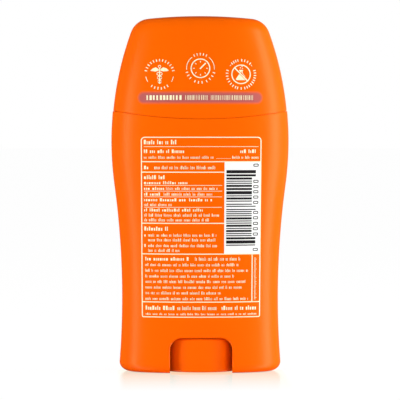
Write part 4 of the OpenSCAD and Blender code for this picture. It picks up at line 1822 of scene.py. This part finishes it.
    def floor_material(self) -> bpy.types.Material:
        """Makes a floor that looks white, with a short soft reflection and a faint shadow at the foot, and
        painted orange reflection tints before the foot and the knob window.

        Returns:
            The material.
        """
        material = bpy.data.materials.new("floor_white")
        material.use_nodes = True
        tree = material.node_tree
        tree.nodes.remove(tree.nodes["Principled BSDF"])
        foot, mouth = self.foot_masks(tree)
        # Painted reflection: the floor's glow is tinted warm before the foot, as if it reflected the orange
        # stick.
        painted_foot_tint = blend_colours(tree, foot, (1.0, 1.0, 1.0), self.foot_painted_reflection)
        diffuse = tree.nodes.new("ShaderNodeBsdfDiffuse")
        diffuse.inputs["Color"].default_value = (*self.floor_colour, 1)
        bright = tree.nodes.new("ShaderNodeEmission")
        bright.inputs["Strength"].default_value = self.floor_glow
        # Painted reflection: before the knob window the glow is tinted orange, and the rendered reflection
        # there is turned off.
        tree.links.new(blend_colours(tree, mouth, painted_foot_tint, self.knob_painted_reflection), bright.inputs["Color"])
        gloss = tree.nodes.new("ShaderNodeBsdfGlossy")
        set_inputs(gloss, {"Color": (1, 1, 1, 1), "Roughness": self.floor_gloss})
        open_floor = calculate(tree, "SUBTRACT", 1.0, mouth)
        share = calculate(tree, "MULTIPLY", calculate(tree, "MULTIPLY", foot, self.mirror), open_floor)
        shown = mix_shaders(tree, share, mix_shaders(tree, self.floor_shade, bright, diffuse), gloss)
        ray = tree.nodes.new("ShaderNodeLightPath").outputs
        final = mix_shaders(tree, ray["Is Camera Ray"], diffuse, shown)
        tree.links.new(final.outputs[0], tree.nodes["Material Output"].inputs["Surface"])
        return material

    def floor(self) -> None:
        """Lays the floor, which hides no lamp below it and doesn't show in gloss."""
        deselect()
        bpy.ops.mesh.primitive_plane_add(size=self.floor_size, location=(0, 0, 0))
        obj = bpy.context.object
        obj.name = "floor"
        obj.visible_glossy = False
        obj.visible_shadow = False
        obj.data.materials.append(self.floor_material())

    def build(self) -> None:
        """Builds the camera, world, floor and lamps."""
        bpy.context.scene.view_settings.view_transform = "Standard"
        self.camera()
        self.world()
        self.floor()
        for lamp in self.lamps:
            self.light(lamp)


def dress(obj: Mesh, material: bpy.types.Material) -> None:
    """Gives an object one material all over.

    Args:
        obj: The object.
        material: The material.
    """
    if not obj.data.materials:
        obj.data.materials.append(material)
    for number in range(len(obj.data.materials)):
        obj.data.materials[number] = material


def main() -> None:
    """Lights the studio, then builds the stick's pieces in order and gives each its finish."""
    logging.basicConfig(level=logging.INFO, format="%(name)s: %(message)s")
    Studio().build()
    outline = Outline()
    cap_outline = Outline(width=60.06, depth=31.82)
    barrel = Barrel(outline)
    applicator = Applicator(outline, barrel)
    panel = PanelPrint(outline)
    cap_print = CapPrint(cap_outline)
    grain = moulded_grain()
    finishes = {finish.name: finish.shade(grain)
                for finish in (ORANGE, WHITE, CREAM, INK_WHITE, FIELD_WHITE, INK_DARK, INK_BAND)}
    pieces: list[tuple[Callable[[], Mesh], PlasticFinish]] = [
        (barrel.build, ORANGE),
        (Cap(cap_outline, barrel).build, ORANGE),
        (Knob().build, ORANGE),
        (applicator.build_dome, WHITE),
        (applicator.build_head, CREAM),
        (applicator.build_column, CREAM),
        (panel.build_lines, INK_WHITE),
        (panel.build_field, FIELD_WHITE),
        (panel.build_bars, INK_DARK),
        (cap_print.build_signs, INK_WHITE),
        (cap_print.build_band, INK_BAND),
    ]
    for build, finish in pieces:
        piece = build()
        dress(piece, finishes[finish.name])
        log.info("%s: %d faces, %s", piece.name, len(piece.data.polygons), finish.name)
    for node in ("elevator", "spindle"):
        dress(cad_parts[node], finishes[WHITE.name])
        log.info("%s: kept from the frame, %s", node, WHITE.name)


if __name__ == "__main__":
    main()
